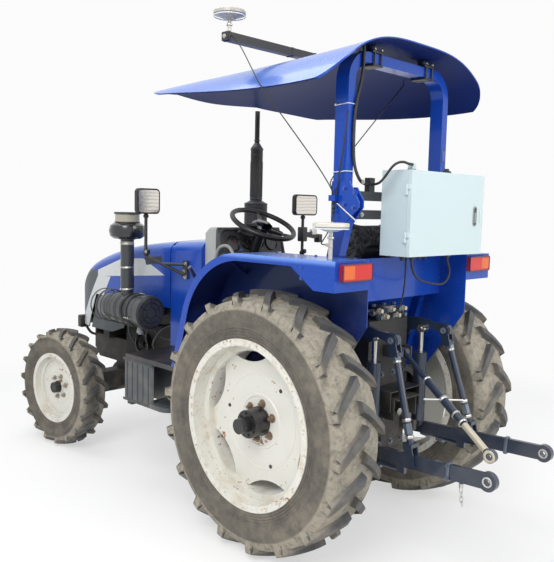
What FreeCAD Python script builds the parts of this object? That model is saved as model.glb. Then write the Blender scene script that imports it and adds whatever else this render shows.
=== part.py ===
import FreeCAD, Part
import math
import os

# Compact four-wheel-drive farm tractor with a two-post roll bar and a sun canopy.
# Millimetres. +X forward, +Y left, +Z up. The tractor is laid out from the point on the
# ground under the rear axle, and is moved at the end so that the middle of its footprint
# is the origin.

V = FreeCAD.Vector
os.makedirs("parts", exist_ok=True)

# ---------------------------------------------------------------- clearances
SEAM = 0.3            # between curved faces that sit on each other
RUN = 0.05            # radial running clearance of shafts and pins
SIDE = 1.0            # beside an eye in its fork
SWING = 6.0           # between pieces that swing past each other

# ---------------------------------------------------------------- wheels
WHEELBASE = 1915.0

REAR_TRACK = 1090.0
REAR_TIP_R = 590.0    # over the lugs
REAR_TYRE_W = 284.0
REAR_FLANGE_R = 381.0
REAR_SEAT_R = 356.0
REAR_WELL_R = 326.0
REAR_RIM_W = 264.0
REAR_DISC_OUT = 20.0  # disc's inner face, outward from the tyre's middle
REAR_DISC_T = 8.0
REAR_SCALLOP_R = 220.0
REAR_SCALLOP_DEPTH = 54.0
REAR_LOBES = 6

FRONT_TRACK = 1010.0
FRONT_TIP_R = 372.0
FRONT_TYRE_W = 180.0
FRONT_FLANGE_R = 222.0
FRONT_SEAT_R = 203.0
FRONT_WELL_R = 180.0
FRONT_RIM_W = 158.0
FRONT_DISC_OUT = 22.0
FRONT_DISC_T = 7.0

RIM_T = 6.0
REAR_WELL_W = 110.0
FRONT_WELL_W = 70.0

REAR_HUB_R = 62.0
REAR_HUB_L = 80.0
REAR_NOSE_R = 34.0
REAR_NOSE_L = 52.0
AXLE_SHAFT_R = 36.0
AXLE_SHAFT_IN = 90.0  # length of the shaft inside its housing
FRONT_HUB_R = 46.0
FRONT_CAP_R = 34.0
FRONT_CAP_L = 34.0
SPINDLE_R = 22.0

# ---------------------------------------------------------------- front axle and steering
REST_STEER = 6.0      # the front wheels stand turned a little to the left
KINGPIN_Y = 400.0
KINGPIN_R = 12.0
KNUCKLE_R = 42.0
KNUCKLE_H = 200.0
YOKE_T = 20.0
YOKE_R = 33.0
BEAM_HALF = 325.0
BEAM_D = 110.0
BEAM_H = 110.0
DIFF_R = 85.0
DIFF_X = (-90.0, 100.0)   # from the axle, rearward and forward
DRIVE_TUBE_RISE = 10.0  # tube's front end over the axle
ARM_L = 130.0         # steering arm, kingpin to tie rod eye
ARM_T = 15.0
ARM_W = 34.0
ARM_DROP = 30.0       # arm's lower face under the hub centre
TIE_R = 12.0
TIE_EYE_R = 20.0
TIE_EYE_H = 27.0
TIE_GAP = 0.6

# ---------------------------------------------------------------- driveline castings
HOUSING_HALF = 150.0
HOUSING_REAR = -270.0
HOUSING_FRONT = 260.0
HOUSING_LOW = 400.0
HOUSING_TOP = 800.0
GEARBOX_HALF = 125.0
GEARBOX_FRONT = 1010.0
GEARBOX_LOW = 440.0
GEARBOX_TOP = 740.0
LIFT_BOX_FRONT = -155.0
LIFT_BOX_TOP = 1030.0
TRUMPET_R_IN = 88.0
TRUMPET_R_OUT = 62.0
TRUMPET_END = 470.0
DRIVE_TUBE_R = 30.0
DRIVE_TUBE_Z = 490.0

ENGINE_REAR = 1010.0
ENGINE_FRONT = 1720.0
ENGINE_HALF = 150.0
ENGINE_LOW = 560.0
ENGINE_TOP = 1180.0
RADIATOR_X = 1850.0
RADIATOR_T = 70.0
RADIATOR_HALF = 200.0
RADIATOR_TOP = 1090.0

RAIL_OUT = 150.0
RAIL_T = 14.0
RAIL_LOW = 500.0
RAIL_TOP = 655.0
FRAME_FRONT = 2110.0
NOSE_PLATE_T = 20.0

# ---------------------------------------------------------------- body panels
SKIN = 4.0
HOOD_REAR = 1083.0
HOOD_SEAM = 8.0
HOOD_FRONT = 2140.0
HOOD_LOW = 950.0
NOSE_LOW = 720.0
# points on the hood's shoulder line: place, half width, top height
HOOD_STATIONS = [
    (1083.0, 272.0, 1334.0),
    (1500.0, 266.0, 1288.0),
    (1850.0, 254.0, 1208.0),
    (2060.0, 238.0, 1122.0),
    (2140.0, 214.0, 1060.0),
]
HOOD_STEPS = 10
HOOD_CORNER_R = (60.0, 75.0)
HOOD_RELIEF_R = 43.0  # room in the cowl's front for the hood's rear edge as it swings
HOOD_RELIEF_HALF = 255.0
HOOD_PIVOT_X = 1105.0
HOOD_PIVOT_Z = 1314.0
HOOD_PIN_R = 4.0
HOOD_EAR_R = 8.0
HOOD_EAR_Y = 196.0
HOOD_EAR_T = 8.0
HOOD_TAB_T = 6.0
HOOD_ARM_DROP = 52.0
GRILLE_HALF = 165.0
GRILLE_LOW = 760.0
GRILLE_TOP = 1010.0
GRILLE_T = 14.0
SIDE_PANEL_REAR = 1560.0
SIDE_PANEL_FRONT = 2010.0
SIDE_PANEL_IN = 232.0
SIDE_PANEL_T = 5.0

COWL_REAR = 800.0
COWL_LOW = 735.0
COWL_TOP_REAR = 1352.0
DASH_HALF = 245.0
DASH_REAR = 640.0
DASH_TOP = 1430.0
DASH_LOW = 1120.0
DASH_EDGE_R = 45.0
CONSOLE_HALF = 110.0
CONSOLE_REAR = 690.0

WHEEL_X = 600.0
WHEEL_Z = 1452.0
WHEEL_R = 178.0
WHEEL_GRIP_R = 14.0
WHEEL_LEAN = 25.0
WHEEL_HUB_R = 42.0
COLUMN_R = 32.0
COLUMN_L = 260.0
COLUMN_SHAFT_R = 11.0

# ---------------------------------------------------------------- platform, steps, fenders
PLATFORM_TOP = 735.0
PLATFORM_T = 25.0
PLATFORM_REAR = 300.0
PLATFORM_FRONT = 1040.0
PLATFORM_HALF = 600.0
STEP_BOX = (800.0, 1080.0)
STEP_IN = 440.0
STEP_OUT = 590.0
STEP_LOW = 470.0
STEP_T = 12.0
TREAD_X = (660.0, 800.0)
TREAD_Z = 500.0
TREAD_T = 25.0

FENDER_IN = REAR_TRACK / 2 - REAR_TYRE_W / 2 - 15.0
FENDER_OUT = 608.0
FENDER_TOP = 2 * REAR_TIP_R + 155.0
FENDER_REAR = -440.0
FENDER_CORNER = REAR_TIP_R - 150.0
FENDER_FOOT = REAR_TIP_R + 25.0
FENDER_BEND_R = 420.0
FENDER_LIP = 34.0
FENDER_BOX_LOW = FENDER_TOP - 125.0
FENDER_BOX_FRONT = -330.0
FENDER_STEP = -200.0
FENDER_WALL_LOW = FENDER_TOP - 285.0
LAMP_Y = (392.0, 578.0)
LAMP_Z = (FENDER_TOP - 81.0, FENDER_TOP - 13.0)
LAMP_T = 20.0

DECK_T = 4.0
DECK_FRONT = 330.0
DECK_Z = 985.0
DECK_STEP_X = -130.0
DECK_REAR_Z = 1135.0
DECK_REAR_X = -290.0

SEAT_HALF = 225.0
SEAT_FRONT = 315.0
SEAT_REAR = -140.0
CUSHION_REAR = -100.0
BACK_STAY_T = 10.0
BACK_STAY_HALF = 60.0
SEAT_BASE_H = 45.0
CUSHION_H = 105.0
BACK_T = 95.0
BACK_TOP = 1500.0
BACK_LEAN = 8.0

# ---------------------------------------------------------------- roll bar, canopy, cabinet
POST_X = -263.0
POST_D = 70.0
POST_W = 45.0
POST_OUT = 385.0
POST_WALL = 4.0
HOOP_TOP = 2215.0
HOOP_BEND = 110.0
HOOP_FOOT = 1640.0
FOLD_LOW = HOOP_FOOT - 150.0
FOLD_T = 8.0
LEG_FOOT_X = -70.0
LEG_TOP_X = -276.0
LEG_FOOT_Z = REAR_TIP_R + 100.0

# stations along the canopy: place, crown height, edge height
CANOPY_STATIONS = [
    (-405.0, 2275.0, 2066.0),
    (-180.0, 2259.0, 2052.0),
    (150.0, 2239.0, 2056.0),
    (550.0, 2214.0, 2082.0),
    (860.0, 2186.0, 2098.0),
    (1050.0, 2150.0, 2084.0),
]
CANOPY_HALF = 600.0
CANOPY_T = 6.0
CANOPY_POWER = 3.3    # how late the arch drops towards its edge
CANOPY_REAR_R = 130.0
CANOPY_FRONT_R = 300.0
MOUNT_Y = 200.0
MOUNT_R = 22.0

BOOM_X = 345.0
BOOM_Z = 2330.0
BOOM_W = 40.0
BOOM_Y = (-150.0, 520.0)
BOOM_FOOT_Y = -105.0
ANTENNA_R = 76.0
ANTENNA_H = 38.0
ANTENNA_CONE = 20.0
ANTENNA_POLE_R = 9.0
ROOF_ANTENNA_Y = 490.0
ROOF_ANTENNA_TOP = 2450.0
FENDER_ANTENNA = (-322.0, 500.0)
FENDER_ANTENNA_TOP = FENDER_TOP + 151.0

CABINET_FACE = -480.0
CABINET_LEFT = 164.0
CABINET_RIGHT = -451.0
CABINET_LOW = FENDER_TOP + 6.0
CABINET_H = 376.0
CABINET_D = 157.0
CABINET_WALL = 2.0
DOOR_T = 20.0
DOOR_GAP = 1.0
HINGE_R = 5.0
HINGE_PIN_R = 2.5
HINGE_L = 24.0
HINGE_OUT = 7.0
BRACKET_Z = (FOLD_LOW + 10.0, FOLD_LOW + 90.0)
BRACKET_H = 40.0

# ---------------------------------------------------------------- cords and their fittings
CORD_EASE = 0.45      # part of the shorter run that a bend takes
THIN_CORD_R = 2.5
POST_CORD_R = 3.0
LOOM_R = 7.0
CONDUIT_R = 5.5
HOSE_R = 5.0
VALVE_HOSE_R = 4.0
CLIP_X = (-268.0, -232.0)
CLIP_OUT = 418.0
CLIP_Z = HOOP_FOOT - 65.0
CLIP_H = 25.0
TIE_CLIP_Z = 1950.0
SOCKET_Z = 1392.0
SOCKET_R = 7.0
SOCKET_L = 22.0
GLAND_X = -445.0
GLAND_Y = 118.0
GLAND_HALF = 13.0
GLAND_H = 32.0
PLUG_Y = (214.0, 250.0)
PLUG_H = 60.0

# ---------------------------------------------------------------- intake, exhaust, mirrors
CLEANER_Y = 420.0
CLEANER_Z = 938.0
CLEANER_R = 95.0
CLEANER_REAR = 1060.0
CLEANER_L = 500.0
SNORKEL_X = 1300.0
SNORKEL_R = 39.0
BOWL_R = 104.0
BOWL_Z = 1392.0
BOWL_H = 100.0
SNORKEL_CAP_R = 76.0
SNORKEL_TOP = BOWL_Z + 108.0

STACK_X = 1040.0
STACK_Y = -356.0
STACK_PIPE_R = 15.0
STACK_DRUM_R = 72.0
STACK_DRUM_Z = (1430.0, 1570.0)
STACK_MUFFLER_R = 38.0
STACK_MUFFLER_TOP = 1915.0
STACK_TOP = 2140.0
STACK_ELBOW_Z = 830.0
STACK_ELBOW_R = 26.0

MIRROR_ROOT = (930.0, 1175.0)
MIRROR_TUBE_R = 9.0
MIRROR_BRACE_AT = 0.6  # share of the strut at which the brace joins it
MIRROR_T = 26.0
# side, post place (x, y), glass centre height, width and height of the head
MIRRORS = [
    (1, 1070.0, 450.0, 1564.0, 150.0, 140.0),
    (-1, 720.0, 450.0, 1565.0, 195.0, 125.0),
]

# ---------------------------------------------------------------- hitch
ROCKSHAFT_X = -210.0
ROCKSHAFT_Z = 970.0
ROCKSHAFT_R = 30.0
LIFT_ARM_Y = 210.0
LIFT_ARM_T = 24.0
LIFT_ARM_L = 240.0
LIFT_ARM_RISE = 2.4   # degrees above level at rest
LIFT_ARM_EYE_R = 30.0
LIFT_PIN_R = 12.0
LINK_X = -60.0
LINK_Z = 460.0
LINK_Y = 245.0
LINK_T = 20.0
LINK_H = 62.0
LINK_PIN_R = 14.0
STAY_Y = 277.0        # front end of the stabiliser, outside the lower link
STAY_R = 9.0
LINK_EYE_X = -945.0
LINK_EYE_Z = 500.0
LINK_EYE_R = 38.0
LINK_BORE_R = 11.0
LIFT_ROD_AT = -600.0  # where the lift rods meet the lower links
LIFT_ROD_R = 15.0
TOP_LINK_X = -360.0
TOP_LINK_Z = 887.0
TOP_LINK_END = (-930.0, 212.0, 590.0)
TOP_LINK_R = 13.0
TOP_EAR_Y = 27.0
TOP_EAR_T = 12.0
TOP_LINK_SLEEVE_R = 18.0
TOP_LINK_RING_R = 27.0
TOP_LINK_BORE_R = 9.5
RAM_X = -330.0
RAM_Y = 185.0
RAM_Z = 510.0
RAM_R = 32.0
RAM_TOP = 860.0
RAM_ROD_R = 12.0
RAM_EYE_Z = 975.0
RAM_PIN_R = 10.0
RAM_EYE_R = 20.0
PTO_Z = 600.0
PTO_R = 17.5
PTO_L = 80.0
PTO_JOURNAL_R = 22.0
PTO_JOURNAL_L = 55.0
VALVE_IN = 6.0
DRAWBAR_HALF = 40.0
DRAWBAR_T = 25.0
DRAWBAR_REAR = -500.0
DRAWBAR_HOLE_R = 12.5
DRAWBAR_HOLE_IN = 45.0


# ================================================================ helpers
def box(x, y, z):
    return Part.makeBox(x[1] - x[0], y[1] - y[0], z[1] - z[0], V(x[0], y[0], z[0]))


def cyl(point, axis, radius, length):
    return Part.makeCylinder(radius, length, V(*point), V(*axis))


def rod(start, end, radius):
    a = V(*start)
    run = V(*end) - a
    return Part.makeCylinder(radius, run.Length, a, run)


def side_prism(points, y0, y1):
    """A flat outline of (x, z) points, as thick as from y0 to y1."""
    wire = Part.makePolygon([V(x, y0, z) for x, z in points + points[:1]])
    return Part.Face(wire).extrude(V(0, y1 - y0, 0))


def turned(profile, point, axis):
    """A closed outline of (along, radius) points, turned about the axis through point."""
    n = V(*axis).normalize()
    base = V(*point)
    side = n.cross(V(0, 0, 1) if abs(n.z) < 0.9 else V(1, 0, 0)).normalize()
    dots = [base + n * a + side * r for a, r in profile]
    face = Part.Face(Part.makePolygon(dots + dots[:1]))
    return face.revolve(base, n, 360)


def mirror(shape):
    return shape.mirror(V(0, 0, 0), V(0, 1, 0))


def both(shape):
    """The shape and its like on the other side, as two solids of one node."""
    return Part.makeCompound([shape, mirror(shape)])


def fuse(first, *others):
    return first.multiFuse(list(others)).removeSplitter()


def rounded_corner(before, corner, after, radius):
    """Ends and middle of the arc that rounds one corner of an outline."""
    u = (before - corner).normalize()
    w = (after - corner).normalize()
    half = u.getAngle(w) / 2
    reach = radius / math.tan(half)
    centre = corner + (u + w).normalize() * (radius / math.sin(half))
    middle = centre + (corner - centre).normalize() * radius
    return corner + u * reach, middle, corner + w * reach


def rounded_box(x, y, z, radius, directions):
    """A box whose edges along the given directions are rounded."""
    solid = box(x, y, z)
    edges = []
    for edge in solid.Edges:
        way = edge.Vertexes[1].Point - edge.Vertexes[0].Point
        name = "XYZ"[max(range(3), key=lambda i: abs(way[i]))]
        if name in directions:
            edges.append(edge)
    return solid.makeFillet(radius, edges)


NODES = {}


def node(name, shape):
    NODES[name] = shape


# ================================================================ wheels
def rim_profile(half, well_half, flange_r, seat_r, well_r):
    """Half-sections of a drop-centre rim, as (along, radius) from its middle."""
    t = RIM_T
    w = well_half
    return [
        (-half, flange_r), (-half, seat_r - t), (-w - t, seat_r - t), (-w - t, well_r - t),
        (w + t, well_r - t), (w + t, seat_r - t), (half, seat_r - t), (half, flange_r),
        (half - t, flange_r), (half - t, seat_r), (w, seat_r), (w, well_r),
        (-w, well_r), (-w, seat_r), (-half + t, seat_r), (-half + t, flange_r),
    ]


def tyre_solid(centre, axis, rim_half, flange_r, seat_r, width, tip_r):
    """A closed ring from the rim's bead seats out to the tread."""
    n = V(*axis).normalize()
    base = V(*centre)
    side = n.cross(V(0, 0, 1)).normalize()

    def at(a, r):
        return base + n * a + side * r

    bead = rim_half - RIM_T - SEAM
    low = seat_r + SEAM
    lip = flange_r + 4
    half = width / 2
    shoulder = tip_r - 0.055 * tip_r
    edges = [Part.LineSegment(at(-bead, low), at(bead, low)).toShape()]
    for s in (1, -1):
        edges.append(Part.LineSegment(at(s * bead, low), at(s * bead, lip)).toShape())
        wall = Part.Arc(at(s * bead, lip), at(s * half, (lip + shoulder) / 2), at(s * (half - 6), shoulder))
        edges.append(wall.toShape())
    edges.append(Part.Arc(at(half - 6, shoulder), at(0, tip_r), at(6 - half, shoulder)).toShape())
    wire = Part.Wire(Part.__sortEdges__(edges))
    return Part.Face(wire).revolve(base, n, 360)


def rear_rim(side):
    y = side * REAR_TRACK / 2
    axis = (0, side, 0)
    centre = (0, y, REAR_TIP_R)
    barrel = turned(rim_profile(REAR_RIM_W / 2, REAR_WELL_W / 2, REAR_FLANGE_R, REAR_SEAT_R, REAR_WELL_R),
                    centre, axis)
    face = y + side * REAR_DISC_OUT
    disc = cyl((0, face, REAR_TIP_R), axis, REAR_WELL_R - RIM_T / 2, REAR_DISC_T)
    reach = REAR_WELL_R - RIM_T - REAR_SCALLOP_DEPTH + REAR_SCALLOP_R
    for k in range(REAR_LOBES):
        a = math.radians(360 / REAR_LOBES * (k + 1 / 3))
        at = (reach * math.cos(a), face - side * 5, REAR_TIP_R + reach * math.sin(a))
        disc = disc.cut(cyl(at, axis, REAR_SCALLOP_R, REAR_DISC_T + 10))
    return fuse(barrel, disc, *rear_hub(side))


def rear_hub(side):
    """Axle flange, hub and cap outside the disc, on the shaft that runs into the housing."""
    y = side * REAR_TRACK / 2
    axis = (0, side, 0)
    outer = y + side * (REAR_DISC_OUT + REAR_DISC_T)
    inner = y + side * REAR_DISC_OUT
    hub = cyl((0, outer, REAR_TIP_R), axis, REAR_HUB_R, REAR_HUB_L)
    nose = cyl((0, outer + side * REAR_HUB_L, REAR_TIP_R), axis, REAR_NOSE_R, REAR_NOSE_L)
    end = side * (TRUMPET_END - AXLE_SHAFT_IN)
    shaft = cyl((0, end, REAR_TIP_R), axis, AXLE_SHAFT_R, abs(inner - end))
    flange = cyl((0, inner - side * 16, REAR_TIP_R), axis, REAR_HUB_R + 30, 16)
    return [hub, nose, shaft, flange]


def steered(shape, side):
    """Turned about the kingpin to where the front wheels stand at rest."""
    return shape.rotate(V(WHEELBASE, side * KINGPIN_Y, 0), V(0, 0, 1), REST_STEER)


def front_rim(side):
    y = side * FRONT_TRACK / 2
    axis = (0, side, 0)
    centre = (WHEELBASE, y, FRONT_TIP_R)
    barrel = turned(rim_profile(FRONT_RIM_W / 2, FRONT_WELL_W / 2, FRONT_FLANGE_R, FRONT_SEAT_R, FRONT_WELL_R),
                    centre, axis)
    face = y + side * FRONT_DISC_OUT
    disc = cyl((WHEELBASE, face, FRONT_TIP_R), axis, FRONT_WELL_R - RIM_T / 2, FRONT_DISC_T)
    hub_in = side * (KINGPIN_Y + KNUCKLE_R + 14)
    hub = cyl((WHEELBASE, hub_in, FRONT_TIP_R), axis, FRONT_HUB_R, abs(face - hub_in) + FRONT_DISC_T + 12)
    cap_at = face + side * (FRONT_DISC_T + 12)
    cap = cyl((WHEELBASE, cap_at, FRONT_TIP_R), axis, FRONT_CAP_R, FRONT_CAP_L)
    bore = cyl((WHEELBASE, hub_in - side, FRONT_TIP_R), axis, SPINDLE_R + RUN, abs(cap_at - hub_in) + 1)
    wheel = fuse(barrel, disc, hub, cap).cut(bore)
    return steered(wheel, side)


def knuckle(side):
    """Kingpin casting with the wheel's spindle and the steering arm."""
    x = WHEELBASE
    y = side * KINGPIN_Y
    mid = FRONT_TIP_R
    body = cyl((x, y, mid - KNUCKLE_H / 2), (0, 0, 1), KNUCKLE_R, KNUCKLE_H)
    pin = cyl((x, y, mid - KNUCKLE_H / 2 - YOKE_T - 1), (0, 0, 1), KINGPIN_R, KNUCKLE_H + 2 * YOKE_T + 2)
    cap_at = side * FRONT_TRACK / 2 + side * (FRONT_DISC_OUT + FRONT_DISC_T + 10)
    spindle = cyl((x, y, mid), (0, side, 0), SPINDLE_R, abs(cap_at - y))
    low = mid - ARM_DROP
    arm = box((x - ARM_L, x), (y - ARM_W / 2, y + ARM_W / 2), (low, low + ARM_T))
    eye = cyl((x - ARM_L, y, low), (0, 0, 1), ARM_W / 2, ARM_T)
    return steered(fuse(body, pin, spindle, arm, eye), side)


def front_beam():
    x = WHEELBASE
    mid = FRONT_TIP_R
    beam = box((x - BEAM_D / 2, x + BEAM_D / 2), (-BEAM_HALF, BEAM_HALF), (mid - BEAM_H / 2, mid + BEAM_H / 2))
    diff = cyl((x + DIFF_X[0], 0, mid), (1, 0, 0), DIFF_R, DIFF_X[1] - DIFF_X[0])
    pieces = [diff]
    for side in (1, -1):
        y = side * KINGPIN_Y
        for up in (1, -1):
            inner = mid + up * (KNUCKLE_H / 2 + 1)
            outer = inner + up * YOKE_T
            z = (min(inner, outer), max(inner, outer))
            plate = fuse(cyl((x, y, z[0]), (0, 0, 1), YOKE_R, YOKE_T),
                         box((x - YOKE_R, x + YOKE_R), sorted((side * (BEAM_HALF - 40), y)), z))
            web_z = sorted((mid, outer))
            web = box((x - YOKE_R, x + YOKE_R), sorted((side * (BEAM_HALF - 40), side * BEAM_HALF)), web_z)
            pieces += [plate.cut(cyl((x, y, z[0] - 1), (0, 0, 1), KINGPIN_R + RUN, YOKE_T + 2)), web]
    return fuse(beam, *pieces)


def tie_rod():
    """Track rod under the two steering arms, as it lies with the wheels at rest."""
    a = math.radians(REST_STEER)
    x = WHEELBASE - ARM_L * math.cos(a)
    shift = -ARM_L * math.sin(a)
    top = FRONT_TIP_R - ARM_DROP - TIE_GAP
    pieces = []
    for side in (1, -1):
        pieces.append(cyl((x, side * KINGPIN_Y + shift, top - TIE_EYE_H), (0, 0, 1), TIE_EYE_R, TIE_EYE_H))
    z = top - TIE_EYE_H / 2
    tube = rod((x, -KINGPIN_Y + shift, z), (x, KINGPIN_Y + shift, z), TIE_R)
    return fuse(tube, *pieces)


# ================================================================ castings and frame
def transmission():
    """Rear axle centre, gearbox and lift box in one casting, with the pins it carries."""
    rear = box((HOUSING_REAR, HOUSING_FRONT), (-HOUSING_HALF, HOUSING_HALF), (HOUSING_LOW, HOUSING_TOP))
    gearbox = box((HOUSING_FRONT, GEARBOX_FRONT), (-GEARBOX_HALF, GEARBOX_HALF), (GEARBOX_LOW, GEARBOX_TOP))
    lift = box((HOUSING_REAR, LIFT_BOX_FRONT), (-HOUSING_HALF, HOUSING_HALF), (HOUSING_TOP, LIFT_BOX_TOP))
    tube = rod((GEARBOX_FRONT - 300, 0, DRIVE_TUBE_Z - 20),
               (WHEELBASE + DIFF_X[0] - 3, 0, FRONT_TIP_R + DRIVE_TUBE_RISE), DRIVE_TUBE_R)
    pins = [cyl((LINK_X, side * (HOUSING_HALF - 10), LINK_Z), (0, side, 0), LINK_PIN_R,
                STAY_Y + 18 - HOUSING_HALF + 10) for side in (1, -1)]
    trumpet = axle_housing()
    body = fuse(rear, gearbox, lift, tube, trumpet, mirror(trumpet), *pins)
    shaft_bore = cyl((ROCKSHAFT_X, -HOUSING_HALF - 1, ROCKSHAFT_Z), (0, 1, 0), ROCKSHAFT_R + RUN, 2 * HOUSING_HALF + 2)
    pto_bore = cyl((HOUSING_REAR - 1, 0, PTO_Z), (1, 0, 0), PTO_JOURNAL_R + RUN, PTO_JOURNAL_L + 3)
    return body.cut(shaft_bore).cut(pto_bore)


def hitch_brackets():
    """Ears on the casting's rear face: the top link's pair, and one with a pin for each ram."""
    pin_bore = cyl((TOP_LINK_X, -60, TOP_LINK_Z), (0, 1, 0), TOP_LINK_BORE_R + RUN, 120)
    solids = []
    for side in (1, -1):
        top = box((TOP_LINK_X - 20, HOUSING_REAR), sorted((side * TOP_EAR_Y, side * (TOP_EAR_Y + TOP_EAR_T))),
                  (TOP_LINK_Z - 28, TOP_LINK_Z + 28))
        solids.append(top.cut(pin_bore))
        ear = box((RAM_X - 22, HOUSING_REAR), sorted((side * 118, side * 142)), (RAM_Z - 24, RAM_Z + 24))
        solids.append(fuse(ear, cyl((RAM_X, side * 120, RAM_Z), (0, side, 0), RAM_PIN_R, RAM_Y + 30 - 120)))
    return Part.makeCompound(solids)


def axle_housing():
    cone = Part.makeCone(TRUMPET_R_IN, TRUMPET_R_OUT, TRUMPET_END - HOUSING_HALF,
                         V(0, HOUSING_HALF, REAR_TIP_R), V(0, 1, 0))
    bore = cyl((0, TRUMPET_END - AXLE_SHAFT_IN - 1, REAR_TIP_R), (0, 1, 0), AXLE_SHAFT_R + RUN, AXLE_SHAFT_IN + 2)
    pad = box((LEG_FOOT_X - 50, LEG_FOOT_X + 90), (POST_OUT - POST_W - 10, POST_OUT), (REAR_TIP_R, LEG_FOOT_Z))
    return fuse(cone, pad).cut(bore)


def engine():
    return box((ENGINE_REAR, ENGINE_FRONT), (-ENGINE_HALF, ENGINE_HALF), (ENGINE_LOW, ENGINE_TOP))


def radiator():
    return box((RADIATOR_X, RADIATOR_X + RADIATOR_T), (-RADIATOR_HALF, RADIATOR_HALF), (RAIL_TOP, RADIATOR_TOP))


def front_frame():
    """Two side rails from the engine to the nose plate, and the axle's pivot bracket."""
    rails = []
    for side in (1, -1):
        y = sorted((side * RAIL_OUT, side * (RAIL_OUT - RAIL_T)))
        outline = [(ENGINE_REAR, ENGINE_LOW), (ENGINE_FRONT, ENGINE_LOW), (ENGINE_FRONT, RAIL_TOP),
                   (FRAME_FRONT, RAIL_TOP), (FRAME_FRONT, RAIL_LOW + 60), (FRAME_FRONT - 60, RAIL_LOW),
                   (ENGINE_REAR, RAIL_LOW)]
        rails.append(side_prism(outline, *y))
    nose = box((FRAME_FRONT - NOSE_PLATE_T, FRAME_FRONT), (-RAIL_OUT, RAIL_OUT), (RAIL_LOW + 60, RAIL_TOP + 30))
    under = RAIL_OUT - RAIL_T
    belly = box((ENGINE_FRONT + 40, FRAME_FRONT - NOSE_PLATE_T), (-under, under), (RAIL_TOP - 12, RAIL_TOP))
    sub = box((ENGINE_REAR + 40, ENGINE_REAR + 120), (-under, under), (RAIL_LOW, RAIL_LOW + 20))
    low = FRONT_TIP_R + BEAM_H / 2
    pivot = box((WHEELBASE - 90, WHEELBASE + 90), (-under, under), (RAIL_LOW, RAIL_LOW + 20))
    saddle = box((WHEELBASE - 50, WHEELBASE + 50), (-70, 70), (FRONT_TIP_R + DIFF_R, RAIL_LOW))
    slot = cyl((WHEELBASE - 60, 0, FRONT_TIP_R), (1, 0, 0), DIFF_R + SEAM, 120)
    saddle = box((WHEELBASE - 50, WHEELBASE + 50), (-70, 70), (low, RAIL_LOW)).cut(slot)
    return fuse(rails[0], rails[1], nose, belly, sub, pivot, saddle)


# ================================================================ hood, cowl and dash
def tunnel(x, half, top, corner, low):
    """Cross-section of hood or cowl: flat sides, rounded corners, slightly crowned top."""
    crown = 0.04 * half
    a = V(x, half, low)
    b = V(x, half, top - corner)
    c = V(x, half - corner, top)
    middle = V(x, half - corner * (1 - math.sqrt(0.5)), top - corner * (1 - math.sqrt(0.5)))
    flip = [V(p.x, -p.y, p.z) for p in (a, b, c, middle)]
    edges = [
        Part.LineSegment(a, b).toShape(),
        Part.Arc(b, middle, c).toShape(),
        Part.Arc(c, V(x, 0, top + crown), flip[2]).toShape(),
        Part.Arc(flip[2], flip[3], flip[1]).toShape(),
        Part.LineSegment(flip[1], flip[0]).toShape(),
        Part.LineSegment(flip[0], a).toShape(),
    ]
    return Part.Wire(edges)


def hood_line():
    """Points along the hood's shoulder, on a smooth curve through its stations."""
    line = Part.BSplineCurve()
    line.interpolate([V(*row) for row in HOOD_STATIONS])
    first, last = line.FirstParameter, line.LastParameter
    return [line.value(first + (last - first) * k / HOOD_STEPS) for k in range(HOOD_STEPS + 1)]


def hood_form(inset, front):
    sections = []
    for k, dot in enumerate(hood_line()):
        corner = HOOD_CORNER_R[0] + (HOOD_CORNER_R[1] - HOOD_CORNER_R[0]) * k / HOOD_STEPS
        sections.append(tunnel(min(dot.x, front), dot.y - inset, dot.z - inset, corner - inset, NOSE_LOW - 10))
    return Part.makeLoft(sections, True, False)


def hood():
    outer = hood_form(0, HOOD_FRONT)
    inner = hood_form(SKIN, HOOD_FRONT - SKIN)
    middle = hood_form(SKIN / 2, HOOD_FRONT - SKIN / 2)
    shell = outer.cut(inner)
    wide = 400
    below = [(HOOD_REAR - 20, 0), (HOOD_FRONT + 20, 0), (HOOD_FRONT + 20, NOSE_LOW), (2040, NOSE_LOW),
             (1930, HOOD_LOW), (HOOD_REAR - 20, HOOD_LOW)]
    shell = shell.cut(side_prism(below, -wide, wide))
    shell = shell.cut(box((HOOD_FRONT - 40, HOOD_FRONT + 10), (-GRILLE_HALF, GRILLE_HALF), (GRILLE_LOW, GRILLE_TOP)))
    pieces = []
    for side in (1, -1):
        y0 = side * (HOOD_EAR_Y - 1 - HOOD_TAB_T)
        y = sorted((y0, y0 + side * HOOD_TAB_T))
        tab = box((HOOD_PIVOT_X - 10, HOOD_PIVOT_X + 10), y, (HOOD_PIVOT_Z - 8, HOOD_STATIONS[0][2] + 40))
        pieces.append(tab.common(middle))
        pieces.append(cyl((HOOD_PIVOT_X, y0, HOOD_PIVOT_Z), (0, side, 0), HOOD_PIN_R, HOOD_TAB_T + HOOD_EAR_T + 4))
    return fuse(shell, *pieces)


def grille():
    """Flat slatted panel that fills the opening in the hood's nose."""
    gap = 0.5
    y = GRILLE_HALF - gap
    z = (GRILLE_LOW + gap, GRILLE_TOP - gap)
    panel = box((HOOD_FRONT - GRILLE_T, HOOD_FRONT - 2), (-y, y), z)
    flange = box((HOOD_FRONT - SKIN - 8 - SEAM, HOOD_FRONT - SKIN - SEAM), (-y - 10, y + 10), (z[0] - 10, z[1] + 10))
    return fuse(panel, flange)


def side_panels():
    """Fixed panels under the hood's sides, beside the radiator."""
    outline = [(SIDE_PANEL_REAR, HOOD_LOW - 6), (SIDE_PANEL_REAR + 60, 760), (SIDE_PANEL_REAR + 200, 715),
               (SIDE_PANEL_FRONT, 715), (SIDE_PANEL_FRONT - 80, HOOD_LOW - 6)]
    panel = side_prism(outline, SIDE_PANEL_IN, SIDE_PANEL_IN + SIDE_PANEL_T)
    stay = box((RADIATOR_X + 10, RADIATOR_X + 40), (RADIATOR_HALF, SIDE_PANEL_IN), (760, 800))
    return both(fuse(panel, stay))


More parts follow.
